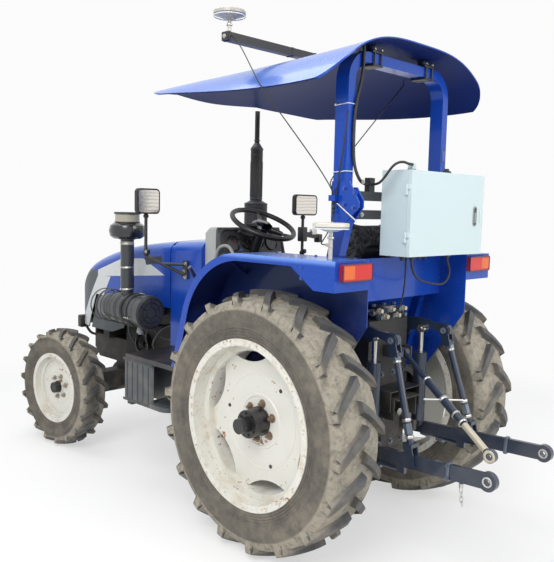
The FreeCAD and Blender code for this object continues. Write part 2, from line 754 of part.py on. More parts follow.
def cowl():
    front = HOOD_REAR - HOOD_SEAM
    _, half, top = HOOD_STATIONS[0]
    corner = HOOD_CORNER_R[0]
    body = Part.makeLoft([tunnel(COWL_REAR, half, COWL_TOP_REAR, corner, COWL_LOW),
                          tunnel(front, half, top, corner, COWL_LOW)], True, True)
    relief = cyl((HOOD_PIVOT_X, -HOOD_RELIEF_HALF, HOOD_PIVOT_Z), (0, 1, 0), HOOD_RELIEF_R, 2 * HOOD_RELIEF_HALF)
    body = body.cut(relief)
    body = body.cut(cyl((STACK_X, 0, STACK_ELBOW_Z), (0, -1, 0), STACK_ELBOW_R + 10, half + 20))
    pieces = []
    for side in (1, -1):
        y = sorted((side * HOOD_EAR_Y, side * (HOOD_EAR_Y + HOOD_EAR_T)))
        foot = HOOD_PIVOT_Z - HOOD_ARM_DROP
        outline = [(HOOD_PIVOT_X - HOOD_EAR_R, HOOD_PIVOT_Z), (HOOD_PIVOT_X + HOOD_EAR_R, HOOD_PIVOT_Z),
                   (HOOD_PIVOT_X + HOOD_EAR_R, foot - 12), (front - 30, foot - 12), (front - 30, foot),
                   (HOOD_PIVOT_X - HOOD_EAR_R, foot)]
        ear = fuse(side_prism(outline, *y), cyl((HOOD_PIVOT_X, y[0], HOOD_PIVOT_Z), (0, 1, 0), HOOD_EAR_R, HOOD_EAR_T))
        pieces.append(ear.cut(cyl((HOOD_PIVOT_X, y[0] - 1, HOOD_PIVOT_Z), (0, 1, 0), HOOD_PIN_R + RUN, HOOD_EAR_T + 2)))
    well = box((ENGINE_REAR - 15, front + 1), (-ENGINE_HALF - 8, ENGINE_HALF + 8), (COWL_LOW - 1, ENGINE_TOP + 8))
    tunnel_cut = box((COWL_REAR - 1, ENGINE_REAR), (-GEARBOX_HALF - 4, GEARBOX_HALF + 4), (COWL_LOW - 1, GEARBOX_TOP + 4))
    return fuse(body, *pieces).cut(well).cut(tunnel_cut)


def dash():
    """Instrument hood over the cowl's rear end, its face leaning towards the driver."""
    outline = [(COWL_REAR, DASH_LOW), (COWL_REAR, 1395), (COWL_REAR - 40, DASH_TOP), (COWL_REAR - 90, DASH_TOP),
               (DASH_REAR, DASH_LOW + 60), (DASH_REAR + 20, DASH_LOW)]
    body = side_prism(outline, -DASH_HALF, DASH_HALF)
    face = [e for e in body.Edges if abs(e.Vertexes[0].Point.y - e.Vertexes[1].Point.y) < 1
            and e.Vertexes[0].Point.x < COWL_REAR - 1 and e.Vertexes[1].Point.x < COWL_REAR - 1
            and min(e.Vertexes[0].Point.z, e.Vertexes[1].Point.z) > DASH_LOW + 1]
    body = body.makeFillet(12, face)
    console = box((CONSOLE_REAR, COWL_REAR), (-CONSOLE_HALF, CONSOLE_HALF), (GEARBOX_TOP, DASH_LOW + 40))
    return fuse(body, console).cut(column_space(0))


def wheel_axis():
    a = math.radians(WHEEL_LEAN)
    return V(-math.sin(a), 0, math.cos(a))


def column_space(extra):
    top = V(WHEEL_X, 0, WHEEL_Z) - wheel_axis() * 60
    foot = top - wheel_axis() * COLUMN_L
    return Part.makeCylinder(COLUMN_R + extra, COLUMN_L, foot, wheel_axis())


def steering_column():
    top = V(WHEEL_X, 0, WHEEL_Z) - wheel_axis() * 60
    bore = Part.makeCylinder(COLUMN_SHAFT_R + RUN, 81, top - wheel_axis() * 80, wheel_axis())
    return column_space(-SEAM).cut(bore)


def steering_wheel():
    n = wheel_axis()
    centre = V(WHEEL_X, 0, WHEEL_Z)
    ring = Part.makeTorus(WHEEL_R, WHEEL_GRIP_R, centre, n)
    hub = Part.makeCylinder(WHEEL_HUB_R, 40, centre - n * 50, n)
    shaft = Part.makeCylinder(COLUMN_SHAFT_R, 90, centre - n * 130, n)
    forward = V(0, 1, 0).cross(n)
    spokes = []
    for k in range(3):
        a = math.radians(120 * k + 90)
        way = forward * math.cos(a) + V(0, 1, 0) * math.sin(a)
        start = centre - n * 30 + way * 20
        end = centre + way * WHEEL_R
        spokes.append(Part.makeCylinder(8, (end - start).Length, start, end - start))
    return fuse(ring, hub, shaft, *spokes)


# ================================================================ platform, fenders, seat
def platform():
    """Foot plate round the gearbox and the cowl's foot."""
    low = PLATFORM_TOP - PLATFORM_T
    plate = box((PLATFORM_REAR, PLATFORM_FRONT), (-PLATFORM_HALF, PLATFORM_HALF), (low, PLATFORM_TOP))
    gap = GEARBOX_HALF
    slot = box((PLATFORM_REAR - 1, PLATFORM_FRONT + 1), (-gap, gap), (low - 1, PLATFORM_TOP + 1))
    tyre = cyl((0, -700, REAR_TIP_R), (0, 1, 0), REAR_TIP_R + 25, 1400)
    tread = tyre.cut(box((-700, 700), (-FENDER_IN, FENDER_IN), (0, 1300)))
    engine_gap = box((ENGINE_REAR - 10, PLATFORM_FRONT + 1), (-ENGINE_HALF - 8, ENGINE_HALF + 8),
                     (low - 1, PLATFORM_TOP + 1))
    return plate.cut(slot).cut(tread).cut(engine_gap)


def step():
    """Guard box in front of the foothold, and the slotted tread behind it."""
    top = PLATFORM_TOP - PLATFORM_T
    shell = rounded_box(STEP_BOX, (STEP_IN, STEP_OUT), (STEP_LOW, top), 28, "Z")
    hollow = box((STEP_BOX[0] - 1, STEP_BOX[1] - STEP_T), (STEP_IN + STEP_T, STEP_OUT - STEP_T),
                 (STEP_LOW - 1, top - STEP_T))
    toe = box((STEP_BOX[1] - 40, STEP_BOX[1]), (STEP_IN + 30, STEP_OUT - 30), (STEP_LOW - 30, STEP_LOW + 10))
    tread = rounded_box((TREAD_X[0], TREAD_X[1] + 60), (STEP_IN - 20, STEP_OUT + 10),
                        (TREAD_Z - TREAD_T, TREAD_Z), 70, "Z")
    hanger = box((TREAD_X[0] + 60, TREAD_X[0] + 100), (STEP_IN - 15, STEP_IN - 3), (TREAD_Z - 5, top))
    return both(fuse(shell.cut(hollow), toe, tread, hanger))


def fender_outline(y, inset, foot, rear_points):
    """Outline under the fender's top: level, one large bend, then down to the foot."""
    top = FENDER_TOP - inset
    corner = V(FENDER_CORNER - 0.72 * inset, y, top)
    start = V(rear_points[-1][0], y, top)
    end = V(FENDER_FOOT - inset, y, foot)
    a, middle, b = rounded_corner(start, corner, end, FENDER_BEND_R - inset)
    dots = [V(x, y, z) for x, z in rear_points]
    edges = [Part.LineSegment(p, q).toShape() for p, q in zip(dots, dots[1:])]
    edges += [
        Part.LineSegment(dots[-1], a).toShape(),
        Part.Arc(a, middle, b).toShape(),
        Part.LineSegment(b, end).toShape(),
        Part.LineSegment(end, dots[0]).toShape(),
    ]
    return Part.Face(Part.Wire(edges))


def fender():
    t = SKIN
    rear = FENDER_REAR
    foot = PLATFORM_TOP
    outer = fender_outline(FENDER_IN, 0, foot, [(-220, foot), (rear, FENDER_WALL_LOW), (rear, FENDER_TOP)])
    outer = outer.extrude(V(0, FENDER_OUT - FENDER_IN, 0))
    room = fender_outline(FENDER_IN + t, t, foot - 50,
                          [(rear + t, foot - 50), (rear + t, FENDER_WALL_LOW), (rear + t, FENDER_TOP - t)])
    room = room.extrude(V(0, FENDER_OUT - FENDER_IN - 2 * t, 0))
    lip = FENDER_LIP
    mouth = fender_outline(FENDER_IN + t, lip, foot - 50,
                           [(rear - 20, foot - 50), (rear - 20, FENDER_BOX_LOW), (FENDER_BOX_FRONT, FENDER_BOX_LOW),
                            (FENDER_STEP, FENDER_TOP - lip)])
    mouth = mouth.extrude(V(0, FENDER_OUT - FENDER_IN, 0))
    return outer.cut(room).cut(mouth)


def tail_lamps():
    lamp = rounded_box((FENDER_REAR - LAMP_T, FENDER_REAR), LAMP_Y, LAMP_Z, 6, "X")
    return both(lamp)


def deck():
    """Folded seat deck between the fenders, rising behind the seat over the lift box."""
    t = DECK_T
    top = FENDER_TOP - 10
    z = DECK_Z
    rear = DECK_REAR_X
    high = DECK_REAR_Z
    outline = [(DECK_FRONT, PLATFORM_TOP), (DECK_FRONT, z), (DECK_STEP_X, z), (DECK_STEP_X - 50, high), (rear, high),
               (rear, top), (rear - t, top), (rear - t, high - t), (DECK_STEP_X - 50 - t, high - t),
               (DECK_STEP_X - t, z - t), (DECK_FRONT - t, z - t), (DECK_FRONT - t, PLATFORM_TOP)]
    half = FENDER_IN
    plate = side_prism(outline, -half, half)
    legs = both(leg_form(3.0)).Solids
    gap = box((DECK_FRONT - 10, DECK_FRONT + 10), (-GEARBOX_HALF - 4, GEARBOX_HALF + 4),
              (PLATFORM_TOP - 1, GEARBOX_TOP + 4))
    return plate.cut(legs[0]).cut(legs[1]).cut(gap)


def back_low():
    return DECK_Z + SEAT_BASE_H + CUSHION_H + 4


def leaned(shape):
    """Tipped back to the seat back's lean."""
    return shape.rotate(V(SEAT_REAR, 0, back_low()), V(0, 1, 0), -BACK_LEAN)


def seat_base():
    """Slide box under the cushion, and the stay that carries the back rest."""
    z = DECK_Z
    slide = box((SEAT_REAR + 15, SEAT_FRONT - 60), (-SEAT_HALF + 50, SEAT_HALF - 50), (z, z + SEAT_BASE_H))
    stay = box((SEAT_REAR - BACK_STAY_T, SEAT_REAR), (-BACK_STAY_HALF, BACK_STAY_HALF), (z + 15, back_low() + 200))
    return fuse(slide, leaned(stay))


def seat_cushion():
    z = DECK_Z + SEAT_BASE_H
    return rounded_box((CUSHION_REAR, SEAT_FRONT), (-SEAT_HALF, SEAT_HALF), (z, z + CUSHION_H), 30, "XYZ")


def seat_back():
    return leaned(rounded_box((SEAT_REAR, SEAT_REAR + BACK_T), (-SEAT_HALF + 10, SEAT_HALF - 10),
                              (back_low(), BACK_TOP), 30, "YZ"))


# ================================================================ roll bar
def leg_form(extra):
    """Lower roll-bar leg, leaning back from the axle housing to the fold plate."""
    y0 = POST_OUT - POST_W - extra
    y1 = POST_OUT + extra
    half = POST_D / 2 + extra
    outline = [(LEG_FOOT_X - half, LEG_FOOT_Z), (LEG_FOOT_X + half, LEG_FOOT_Z),
               (LEG_TOP_X + half, FOLD_LOW), (LEG_TOP_X + half, HOOP_FOOT - 12), (LEG_TOP_X - half, HOOP_FOOT - 12),
               (LEG_TOP_X - half, FOLD_LOW)]
    return side_prism(outline, y0, y1)


def cabinet_space():
    """Room that the roll bar's plates leave for the cabinet."""
    gap = SWING
    return box((CABINET_FACE - gap, CABINET_FACE + CABINET_D + gap), (CABINET_RIGHT - gap, CABINET_LEFT + 60),
               (CABINET_LOW - gap, CABINET_LOW + CABINET_H + gap))


def rops_legs():
    leg = leg_form(0)
    inner = POST_OUT - POST_W
    plate = side_prism([(POST_X - 95, HOOP_FOOT - 60), (POST_X - 60, HOOP_FOOT - 5), (POST_X + 35, HOOP_FOOT - 5),
                        (POST_X + 35, FOLD_LOW - 10), (POST_X - 20, FOLD_LOW - 40), (POST_X - 95, FOLD_LOW + 60)],
                       inner - FOLD_T, inner)
    return both(fuse(leg, plate)).cut(cabinet_space())


def rops_hoop(roof):
    """Upper hoop of rectangular tube with rounded bends, and its fold plates."""
    half = POST_OUT - POST_W / 2
    top = HOOP_TOP - POST_W / 2
    foot = HOOP_FOOT
    r = HOOP_BEND
    k = r * (1 - math.sqrt(0.5))
    x = POST_X
    left = [V(x, half, foot), V(x, half, top - r), V(x, half - k, top - k), V(x, half - r, top)]
    right = [V(x, -p.y, p.z) for p in left]
    edges = [
        Part.LineSegment(left[0], left[1]).toShape(),
        Part.Arc(left[1], left[2], left[3]).toShape(),
        Part.LineSegment(left[3], right[3]).toShape(),
        Part.Arc(right[3], right[2], right[1]).toShape(),
        Part.LineSegment(right[1], right[0]).toShape(),
    ]
    path = Part.Wire(edges)
    w = POST_W / 2
    d = POST_D / 2
    dots = [V(x - d, half - w, foot), V(x + d, half - w, foot), V(x + d, half + w, foot), V(x - d, half + w, foot)]
    tube = path.makePipeShell([Part.makePolygon(dots + dots[:1])], True, False)
    plates = []
    for side in (1, -1):
        y = sorted((side * POST_OUT, side * (POST_OUT + FOLD_T)))
        outline = [(POST_X - 115, HOOP_FOOT - 70), (POST_X - 60, HOOP_FOOT + 20), (POST_X + 35, HOOP_FOOT + 20),
                   (POST_X + 35, FOLD_LOW), (POST_X - 30, FOLD_LOW - 20), (POST_X - 115, FOLD_LOW + 60)]
        plates.append(side_prism(outline, *y))
        y = side * MOUNT_Y
        high = min(surface_height(roof, POST_X + dx, y + dy, False) for dx in (-15, 15) for dy in (-15, 15))
        plates.append(cyl((POST_X, y, HOOP_TOP - 2), (0, 0, 1), MOUNT_R, high - SEAM - HOOP_TOP + 2))
    clip = box((CLIP_X[0], CLIP_X[1]), (POST_OUT + FOLD_T - 1, CLIP_OUT), (CLIP_Z, CLIP_Z + CLIP_H))
    clip = clip.cut(cyl((-252, 408, CLIP_Z - 1), (0, 0, 1), THIN_CORD_R + RUN, CLIP_H + 2))
    rear = POST_X - POST_D / 2
    tie = box((rear - 13, rear + 3), (POST_OUT - 1, POST_OUT + 12), (TIE_CLIP_Z, TIE_CLIP_Z + 12))
    return fuse(tube, clip, tie, *plates).cut(cabinet_space())


# ================================================================ canopy and antennas
def canopy_section(x, crown, edge):
    """Closed cross-section of the shell at one place along the canopy."""
    steps = 6
    rows = []
    for drop in (0, CANOPY_T):
        row = []
        for k in range(-steps, steps + 1):
            t = k / steps
            y = t * (CANOPY_HALF - drop)
            z = crown - (crown - edge) * abs(t) ** CANOPY_POWER - drop * (1 - 0.3 * abs(t))
            row.append(V(x, y, z))
        rows.append(row)
    curves = []
    for row in rows:
        curve = Part.BSplineCurve()
        curve.interpolate(row)
        curves.append(curve.toShape())
    ends = [Part.LineSegment(rows[0][i], rows[1][i]).toShape() for i in (0, -1)]
    return Part.Wire(Part.__sortEdges__([curves[0], ends[1], curves[1], ends[0]]))


def canopy():
    sections = [canopy_section(*row) for row in CANOPY_STATIONS]
    shell = Part.makeLoft(sections, True, False)
    x0 = CANOPY_STATIONS[0][0]
    x1 = CANOPY_STATIONS[-1][0]
    plan = rounded_plan(x0, x1, CANOPY_HALF + 1, CANOPY_REAR_R, CANOPY_FRONT_R)
    return shell.common(plan.extrude(V(0, 0, 600)))


def rounded_plan(x0, x1, half, rear_r, front_r):
    """Canopy plan: straight sides, rounded rear corners and a bowed front."""
    z = 1900
    k = math.sqrt(0.5)
    bow = 60
    rear = [V(x0, half - rear_r, z), V(x0 + rear_r * (1 - k), half - rear_r * (1 - k), z), V(x0 + rear_r, half, z)]
    nose = x1 - bow
    front = [V(nose - front_r, half, z), V(nose - front_r * (1 - k), half - front_r * (1 - k), z),
             V(nose, half - front_r, z)]
    right_rear = [V(p.x, -p.y, z) for p in rear]
    right_front = [V(p.x, -p.y, z) for p in front]
    edges = [
        Part.Arc(*rear).toShape(),
        Part.LineSegment(rear[2], front[0]).toShape(),
        Part.Arc(*front).toShape(),
        Part.Arc(front[2], V(x1 - 1, 0, z), right_front[2]).toShape(),
        Part.Arc(right_front[2], right_front[1], right_front[0]).toShape(),
        Part.LineSegment(right_front[0], right_rear[2]).toShape(),
        Part.Arc(right_rear[2], right_rear[1], right_rear[0]).toShape(),
        Part.LineSegment(right_rear[0], rear[0]).toShape(),
    ]
    return Part.Face(Part.Wire(Part.__sortEdges__(edges)))


def surface_height(shape, x, y, upper):
    """Height at which a vertical line at (x, y) leaves the shape."""
    line = Part.LineSegment(V(x, y, 0), V(x, y, 4000)).toShape()
    hit = shape.common(line).BoundBox
    return hit.ZMax if upper else hit.ZMin


def gnss_boom(roof):
    w = BOOM_W / 2
    bar = box((BOOM_X - w, BOOM_X + w), BOOM_Y, (BOOM_Z - w, BOOM_Z + w))
    low = max(surface_height(roof, BOOM_X + dx, BOOM_FOOT_Y + dy, True) for dx in (-45, 45) for dy in (-35, 35))
    foot = box((BOOM_X - 45, BOOM_X + 45), (BOOM_FOOT_Y - 35, BOOM_FOOT_Y + 35), (low + SEAM, low + 6))
    post = box((BOOM_X - 15, BOOM_X + 15), (BOOM_FOOT_Y - 15, BOOM_FOOT_Y + 15), (low + 5, BOOM_Z))
    return fuse(bar, foot, post)


def antenna(x, y, foot, top):
    """Flat-domed receiver with a tapered underside, on a short pole."""
    r = ANTENNA_R
    base = top - ANTENNA_H
    profile = [(0, 0), (0, 0.35 * r), (ANTENNA_CONE, r), (ANTENNA_CONE + 12, r), (ANTENNA_CONE + 16, 0.96 * r),
               (ANTENNA_H, 0.6 * r), (ANTENNA_H, 0)]
    head = turned(profile, (x, y, base), (0, 0, 1))
    return fuse(head, cyl((x, y, foot), (0, 0, 1), ANTENNA_POLE_R, base + 1 - foot))


def antennas():
    roof = antenna(BOOM_X, ROOF_ANTENNA_Y, BOOM_Z + BOOM_W / 2, ROOF_ANTENNA_TOP)
    x, y = FENDER_ANTENNA
    socket = cyl((x, y, SOCKET_Z), (1, 0, 0), SOCKET_R, SOCKET_L)
    fender_one = fuse(antenna(x, y, FENDER_TOP, FENDER_ANTENNA_TOP), socket)
    return Part.makeCompound([roof, fender_one])


# ================================================================ cabinet
def hinge_places():
    return [CABINET_LOW + 60, CABINET_LOW + CABINET_H - 60 - 2 * HINGE_L]


def hinge_axis_xy():
    return CABINET_FACE + DOOR_T, CABINET_LEFT + HINGE_OUT


def cabinet_body():
    back = CABINET_FACE + CABINET_D
    front = CABINET_FACE + DOOR_T + DOOR_GAP
    w = CABINET_WALL
    y = (CABINET_RIGHT, CABINET_LEFT)
    z = (CABINET_LOW, CABINET_LOW + CABINET_H)
    shell = box((front, back), y, z)
    room = box((front - 1, back - w), (y[0] + w, y[1] - w), (z[0] + w, z[1] - w))
    pieces = []
    hx, hy = hinge_axis_xy()
    for low in hinge_places():
        barrel = cyl((hx, hy, low), (0, 0, 1), HINGE_R, HINGE_L)
        leaf = box((hx + 2, hx + 16), (CABINET_LEFT - 1, hy), (low, low + HINGE_L))
        bore = cyl((hx, hy, low - 1), (0, 0, 1), HINGE_PIN_R + RUN, HINGE_L + 2)
        pieces.append(fuse(barrel, leaf).cut(bore))
    gland = box((GLAND_X - GLAND_HALF, GLAND_X + GLAND_HALF), (GLAND_Y - GLAND_HALF, GLAND_Y + GLAND_HALF),
                (z[1] - w, z[1] + GLAND_H))
    return fuse(shell.cut(room), gland, *pieces)


def cabinet_door():
    y = (CABINET_RIGHT, CABINET_LEFT)
    z = (CABINET_LOW, CABINET_LOW + CABINET_H)
    slab = box((CABINET_FACE, CABINET_FACE + DOOR_T), y, z)
    hx, hy = hinge_axis_xy()
    pieces = []
    for low in hinge_places():
        top = low + HINGE_L + 0.5
        barrel = cyl((hx, hy, top), (0, 0, 1), HINGE_R, HINGE_L)
        leaf = box((hx - 14, hx - 2), (CABINET_LEFT - 1, hy), (top, top + HINGE_L))
        pin = cyl((hx, hy, low + 2), (0, 0, 1), HINGE_PIN_R, HINGE_L + 4)
        pieces += [barrel, leaf, pin]
    latch = box((CABINET_FACE - 4, CABINET_FACE), (y[0] + 22, y[0] + 34), (z[0] + 150, z[0] + 210))
    return fuse(slab, latch, *pieces)


def cabinet_bracket():
    """Two rails between the roll bar's legs that carry the cabinet."""
    back = CABINET_FACE + CABINET_D
    inner = POST_OUT - POST_W - FOLD_T
    low, high = [box((back, POST_X - POST_D / 2 + 10), (-inner, inner), (z, z + BRACKET_H)) for z in BRACKET_Z]
    top = BRACKET_Z[1] + BRACKET_H
    plug = box((back + 2, back + 30), PLUG_Y, (top - 1, top + PLUG_H))
    return Part.makeCompound([low, fuse(high, plug)])


# ================================================================ intake, exhaust, mirrors
def air_cleaner():
    x0 = CLEANER_REAR
    r = CLEANER_R
    length = CLEANER_L
    profile = [(0, 0), (0, 0.8 * r), (8, r), (70, r), (74, 0.93 * r), (0.55 * length, 0.93 * r),
               (0.75 * length, 0.86 * r), (0.93 * length, 0.66 * r), (length, 0.4 * r), (length, 0)]
    body = turned(profile, (x0, CLEANER_Y, CLEANER_Z), (1, 0, 0))
    neck = cyl((SNORKEL_X, CLEANER_Y, CLEANER_Z), (0, 0, 1), SNORKEL_R - 4, BOWL_Z - CLEANER_Z)
    pipe = cyl((SNORKEL_X, CLEANER_Y, CLEANER_Z + 104), (0, 0, 1), SNORKEL_R, BOWL_Z - CLEANER_Z - 104)
    b = BOWL_H / 2
    bowl_profile = [(-b, 0), (-b, 0.45 * BOWL_R), (-0.6 * b, 0.86 * BOWL_R), (0, BOWL_R), (0.5 * b, 0.9 * BOWL_R),
                    (b, 0.6 * BOWL_R), (b, 0)]
    bowl = turned(bowl_profile, (SNORKEL_X, CLEANER_Y, BOWL_Z), (0, 0, 1))
    cap_low = BOWL_Z + b - 1
    cap = cyl((SNORKEL_X, CLEANER_Y, cap_low), (0, 0, 1), SNORKEL_CAP_R - 6, SNORKEL_TOP - 12 - cap_low)
    lid = cyl((SNORKEL_X, CLEANER_Y, SNORKEL_TOP - 12), (0, 0, 1), SNORKEL_CAP_R, 12)
    bracket = box((SNORKEL_X - 20, SNORKEL_X + 40), (ENGINE_HALF, CLEANER_Y), (CLEANER_Z - 60, HOOD_LOW - 20))
    return fuse(body, neck, pipe, bowl, cap, lid, bracket)


def exhaust():
    x = STACK_X
    y = STACK_Y
    drum = cyl((x, y, STACK_DRUM_Z[0]), (0, 0, 1), STACK_DRUM_R, STACK_DRUM_Z[1] - STACK_DRUM_Z[0])
    muffler = cyl((x, y, STACK_DRUM_Z[1] - 1), (0, 0, 1), STACK_MUFFLER_R, STACK_MUFFLER_TOP - STACK_DRUM_Z[1] + 1)
    pipe = cyl((x, y, STACK_MUFFLER_TOP - 1), (0, 0, 1), STACK_PIPE_R, STACK_TOP - STACK_MUFFLER_TOP + 1)
    riser = cyl((x, y, STACK_ELBOW_Z), (0, 0, 1), STACK_ELBOW_R, STACK_DRUM_Z[0] - STACK_ELBOW_Z + 1)
    across = cyl((x, y, STACK_ELBOW_Z), (0, 1, 0), STACK_ELBOW_R, -ENGINE_HALF - y)
    knee = Part.makeSphere(STACK_ELBOW_R, V(x, y, STACK_ELBOW_Z))
    return fuse(drum, muffler, pipe, riser, across, knee)


def mirror_arm(side, x, y, z, width, height):
    root_x, root_z = MIRROR_ROOT
    half = HOOD_STATIONS[0][1]
    y = side * y
    low = root_z + 85
    foot = box((root_x - 20, root_x + 20), sorted((side * half, side * (half + 13))), (root_z - 40, root_z + 60))
    start = V(root_x, side * (half + 10), root_z - 20)
    strut = rod(tuple(start), (x, y, low), MIRROR_TUBE_R)
    joint = start + (V(x, y, low) - start) * MIRROR_BRACE_AT
    brace = rod((root_x, side * (half + 10), root_z + 40), tuple(joint), MIRROR_TUBE_R - 1)
    ball = Part.makeSphere(MIRROR_TUBE_R, V(x, y, low))
    post = rod((x, y, low), (x, y, z), MIRROR_TUBE_R)
    head = rounded_box((x - MIRROR_T, x), (y - width / 2, y + width / 2), (z - height / 2, z + height / 2), 24, "X")
    return fuse(foot, strut, brace, ball, post, head)


def mirrors():
    return Part.makeCompound([mirror_arm(*row) for row in MIRRORS])


def mirror_glasses():
    panes = []
    for side, x, y, z, width, height in MIRRORS:
        y = side * y
        panes.append(rounded_box((x - MIRROR_T - 2, x - MIRROR_T), (y - width / 2 + 8, y + width / 2 - 8),
                                 (z - height / 2 + 8, z + height / 2 - 8), 16, "X"))
    return Part.makeCompound(panes)


# ================================================================ hitch
def arm_tip():
    a = math.radians(LIFT_ARM_RISE)
    return ROCKSHAFT_X - LIFT_ARM_L * math.cos(a), ROCKSHAFT_Z + LIFT_ARM_L * math.sin(a)


def lift_arms():
    """Rockshaft with a bowed arm on each end."""
    shaft = cyl((ROCKSHAFT_X, -LIFT_ARM_Y - LIFT_ARM_T / 2, ROCKSHAFT_Z), (0, 1, 0), ROCKSHAFT_R,
                2 * LIFT_ARM_Y + LIFT_ARM_T)
    tip_x, tip_z = arm_tip()
    pieces = []
    for side in (1, -1):
        y0 = side * LIFT_ARM_Y - LIFT_ARM_T / 2
        boss = cyl((ROCKSHAFT_X, y0, ROCKSHAFT_Z), (0, 1, 0), ROCKSHAFT_R + 18, LIFT_ARM_T)
        eye = cyl((tip_x, y0, tip_z), (0, 1, 0), LIFT_ARM_EYE_R, LIFT_ARM_T)
        bow = side_prism([(ROCKSHAFT_X, ROCKSHAFT_Z + 46), (ROCKSHAFT_X - 90, ROCKSHAFT_Z + 56),
                          (tip_x + 60, tip_z + 30), (tip_x, tip_z + LIFT_ARM_EYE_R - 1), (tip_x, tip_z - 20),
                          (tip_x + 80, tip_z + 2), (ROCKSHAFT_X, ROCKSHAFT_Z - 20)], y0, y0 + LIFT_ARM_T)
        lug = cyl((RAM_X, y0, RAM_EYE_Z), (0, 1, 0), RAM_EYE_R, LIFT_ARM_T)
        bore = cyl((tip_x, y0 - 1, tip_z), (0, 1, 0), LIFT_PIN_R + RUN, LIFT_ARM_T + 2)
        pieces.append(fuse(boss, eye, bow, lug).cut(bore))
    return fuse(shaft, *pieces)


def link_height(x):
    """Height of the lower links' middle at a place along them."""
    return LINK_Z + (LINK_EYE_Z - LINK_Z) * (x - LINK_X) / (LINK_EYE_X - LINK_X)


def lift_rod():
    """Upper fork on the arm's eye, threaded rod and lower fork over the lower link."""
    tip_x, tip_z = arm_tip()
    low = (LIFT_ROD_AT, LINK_Y, link_height(LIFT_ROD_AT))
    top = (tip_x, LIFT_ARM_Y, tip_z)
    inner = LIFT_ARM_T / 2 + SIDE
    ear = 8
    pieces = []
    for s in (1, -1):
        y = sorted((LIFT_ARM_Y + s * inner, LIFT_ARM_Y + s * (inner + ear)))
        pieces.append(cyl((tip_x, y[0], tip_z), (0, 1, 0), LIFT_ARM_EYE_R - 4, ear))
        pieces.append(side_prism([(tip_x - 22, tip_z), (tip_x + 22, tip_z), (tip_x + 6, tip_z - 64),
                                  (tip_x - 36, tip_z - 64)], *y))
    pieces.append(cyl((tip_x, LIFT_ARM_Y - inner - ear, tip_z), (0, 1, 0), LIFT_PIN_R, 2 * (inner + ear)))
    a = V(*top)
    b = V(*low)
    way = (b - a).normalize()
    neck = a + way * 48
    knee = b - way * 70
    pieces.append(box((neck.x - 22, neck.x + 22), (LIFT_ARM_Y - inner - ear, LIFT_ARM_Y + inner + ear),
                      (neck.z - 24, neck.z - 4)))
    pieces.append(rod(tuple(neck), tuple(knee), LIFT_ROD_R))
    wide = LINK_T / 2 + SWING
    fork_top = low[2] + LINK_H / 2 + 30
    pieces.append(box((knee.x - 22, knee.x + 22), (LINK_Y - wide - ear, LINK_Y + wide + ear), (fork_top, fork_top + 18)))
    for s in (1, -1):
        y = sorted((LINK_Y + s * wide, LINK_Y + s * (wide + ear)))
        pieces.append(side_prism([(knee.x - 22, fork_top + 4), (knee.x + 22, fork_top + 4), (low[0] + 20, low[2] - 14),
                                  (low[0] - 20, low[2] - 14)], *y))
    return fuse(*pieces)


def lower_link():
    """Flat lower link with its eyes, and the stabiliser bar beside it."""
    y0 = LINK_Y - LINK_T / 2
    h = LINK_H / 2
    bar = side_prism([(LINK_X, LINK_Z - h + 4), (LINK_X, LINK_Z + h - 4), (LIFT_ROD_AT, link_height(LIFT_ROD_AT) + h),
                      (LINK_EYE_X, LINK_EYE_Z + LINK_EYE_R - 6), (LINK_EYE_X, LINK_EYE_Z - LINK_EYE_R + 6),
                      (LIFT_ROD_AT, link_height(LIFT_ROD_AT) - h)], y0, y0 + LINK_T)
    front = cyl((LINK_X, y0, LINK_Z), (0, 1, 0), LINK_PIN_R + 18, LINK_T)
    eye = cyl((LINK_EYE_X, y0 - 4, LINK_EYE_Z), (0, 1, 0), LINK_EYE_R, LINK_T + 8)
    bar_eye = cyl((LINK_X, STAY_Y - 8, LINK_Z), (0, 1, 0), LINK_PIN_R + 10, 16)
    end_x = LIFT_ROD_AT + 60
    end_z = link_height(end_x) - h - 16
    stay = rod((LINK_X - 15, STAY_Y, LINK_Z - 8), (end_x, LINK_Y, end_z), STAY_R)
    lug = box((end_x - 20, end_x + 20), (y0, y0 + LINK_T), (end_z - 12, end_z + 24))
    pin_bore = cyl((LINK_X, 0, LINK_Z), (0, 1, 0), LINK_PIN_R + RUN, 400)
    ball_bore = cyl((LINK_EYE_X, 0, LINK_EYE_Z), (0, 1, 0), LINK_BORE_R, 400)
    return fuse(bar, front, eye, bar_eye, stay, lug).cut(pin_bore).cut(ball_bore)


def top_link():
    """Adjustable top link, hanging down to the left lower link where it is parked."""
    a = V(TOP_LINK_X, 0, TOP_LINK_Z)
    b = V(*TOP_LINK_END)
    way = (b - a).normalize()
    eye = cyl((a.x, -15, a.z), (0, 1, 0), 24, 30)
    pin_half = TOP_EAR_Y + TOP_EAR_T + 6
    pin = cyl((a.x, -pin_half, a.z), (0, 1, 0), TOP_LINK_BORE_R, 2 * pin_half)
    length = (b - a).Length
    bar = rod(tuple(a + way * 20), tuple(b - way * 18), TOP_LINK_R)
    sleeve = rod(tuple(a + way * 0.3 * length), tuple(a + way * 0.72 * length), TOP_LINK_SLEEVE_R)
    ring = cyl((b.x, b.y - 12, b.z), (0, 1, 0), TOP_LINK_RING_R, 24)
    bore = cyl((b.x, b.y - 20, b.z), (0, 1, 0), TOP_LINK_BORE_R, 40)
    return fuse(eye, pin, bar, sleeve, ring.cut(bore)).cut(bore)


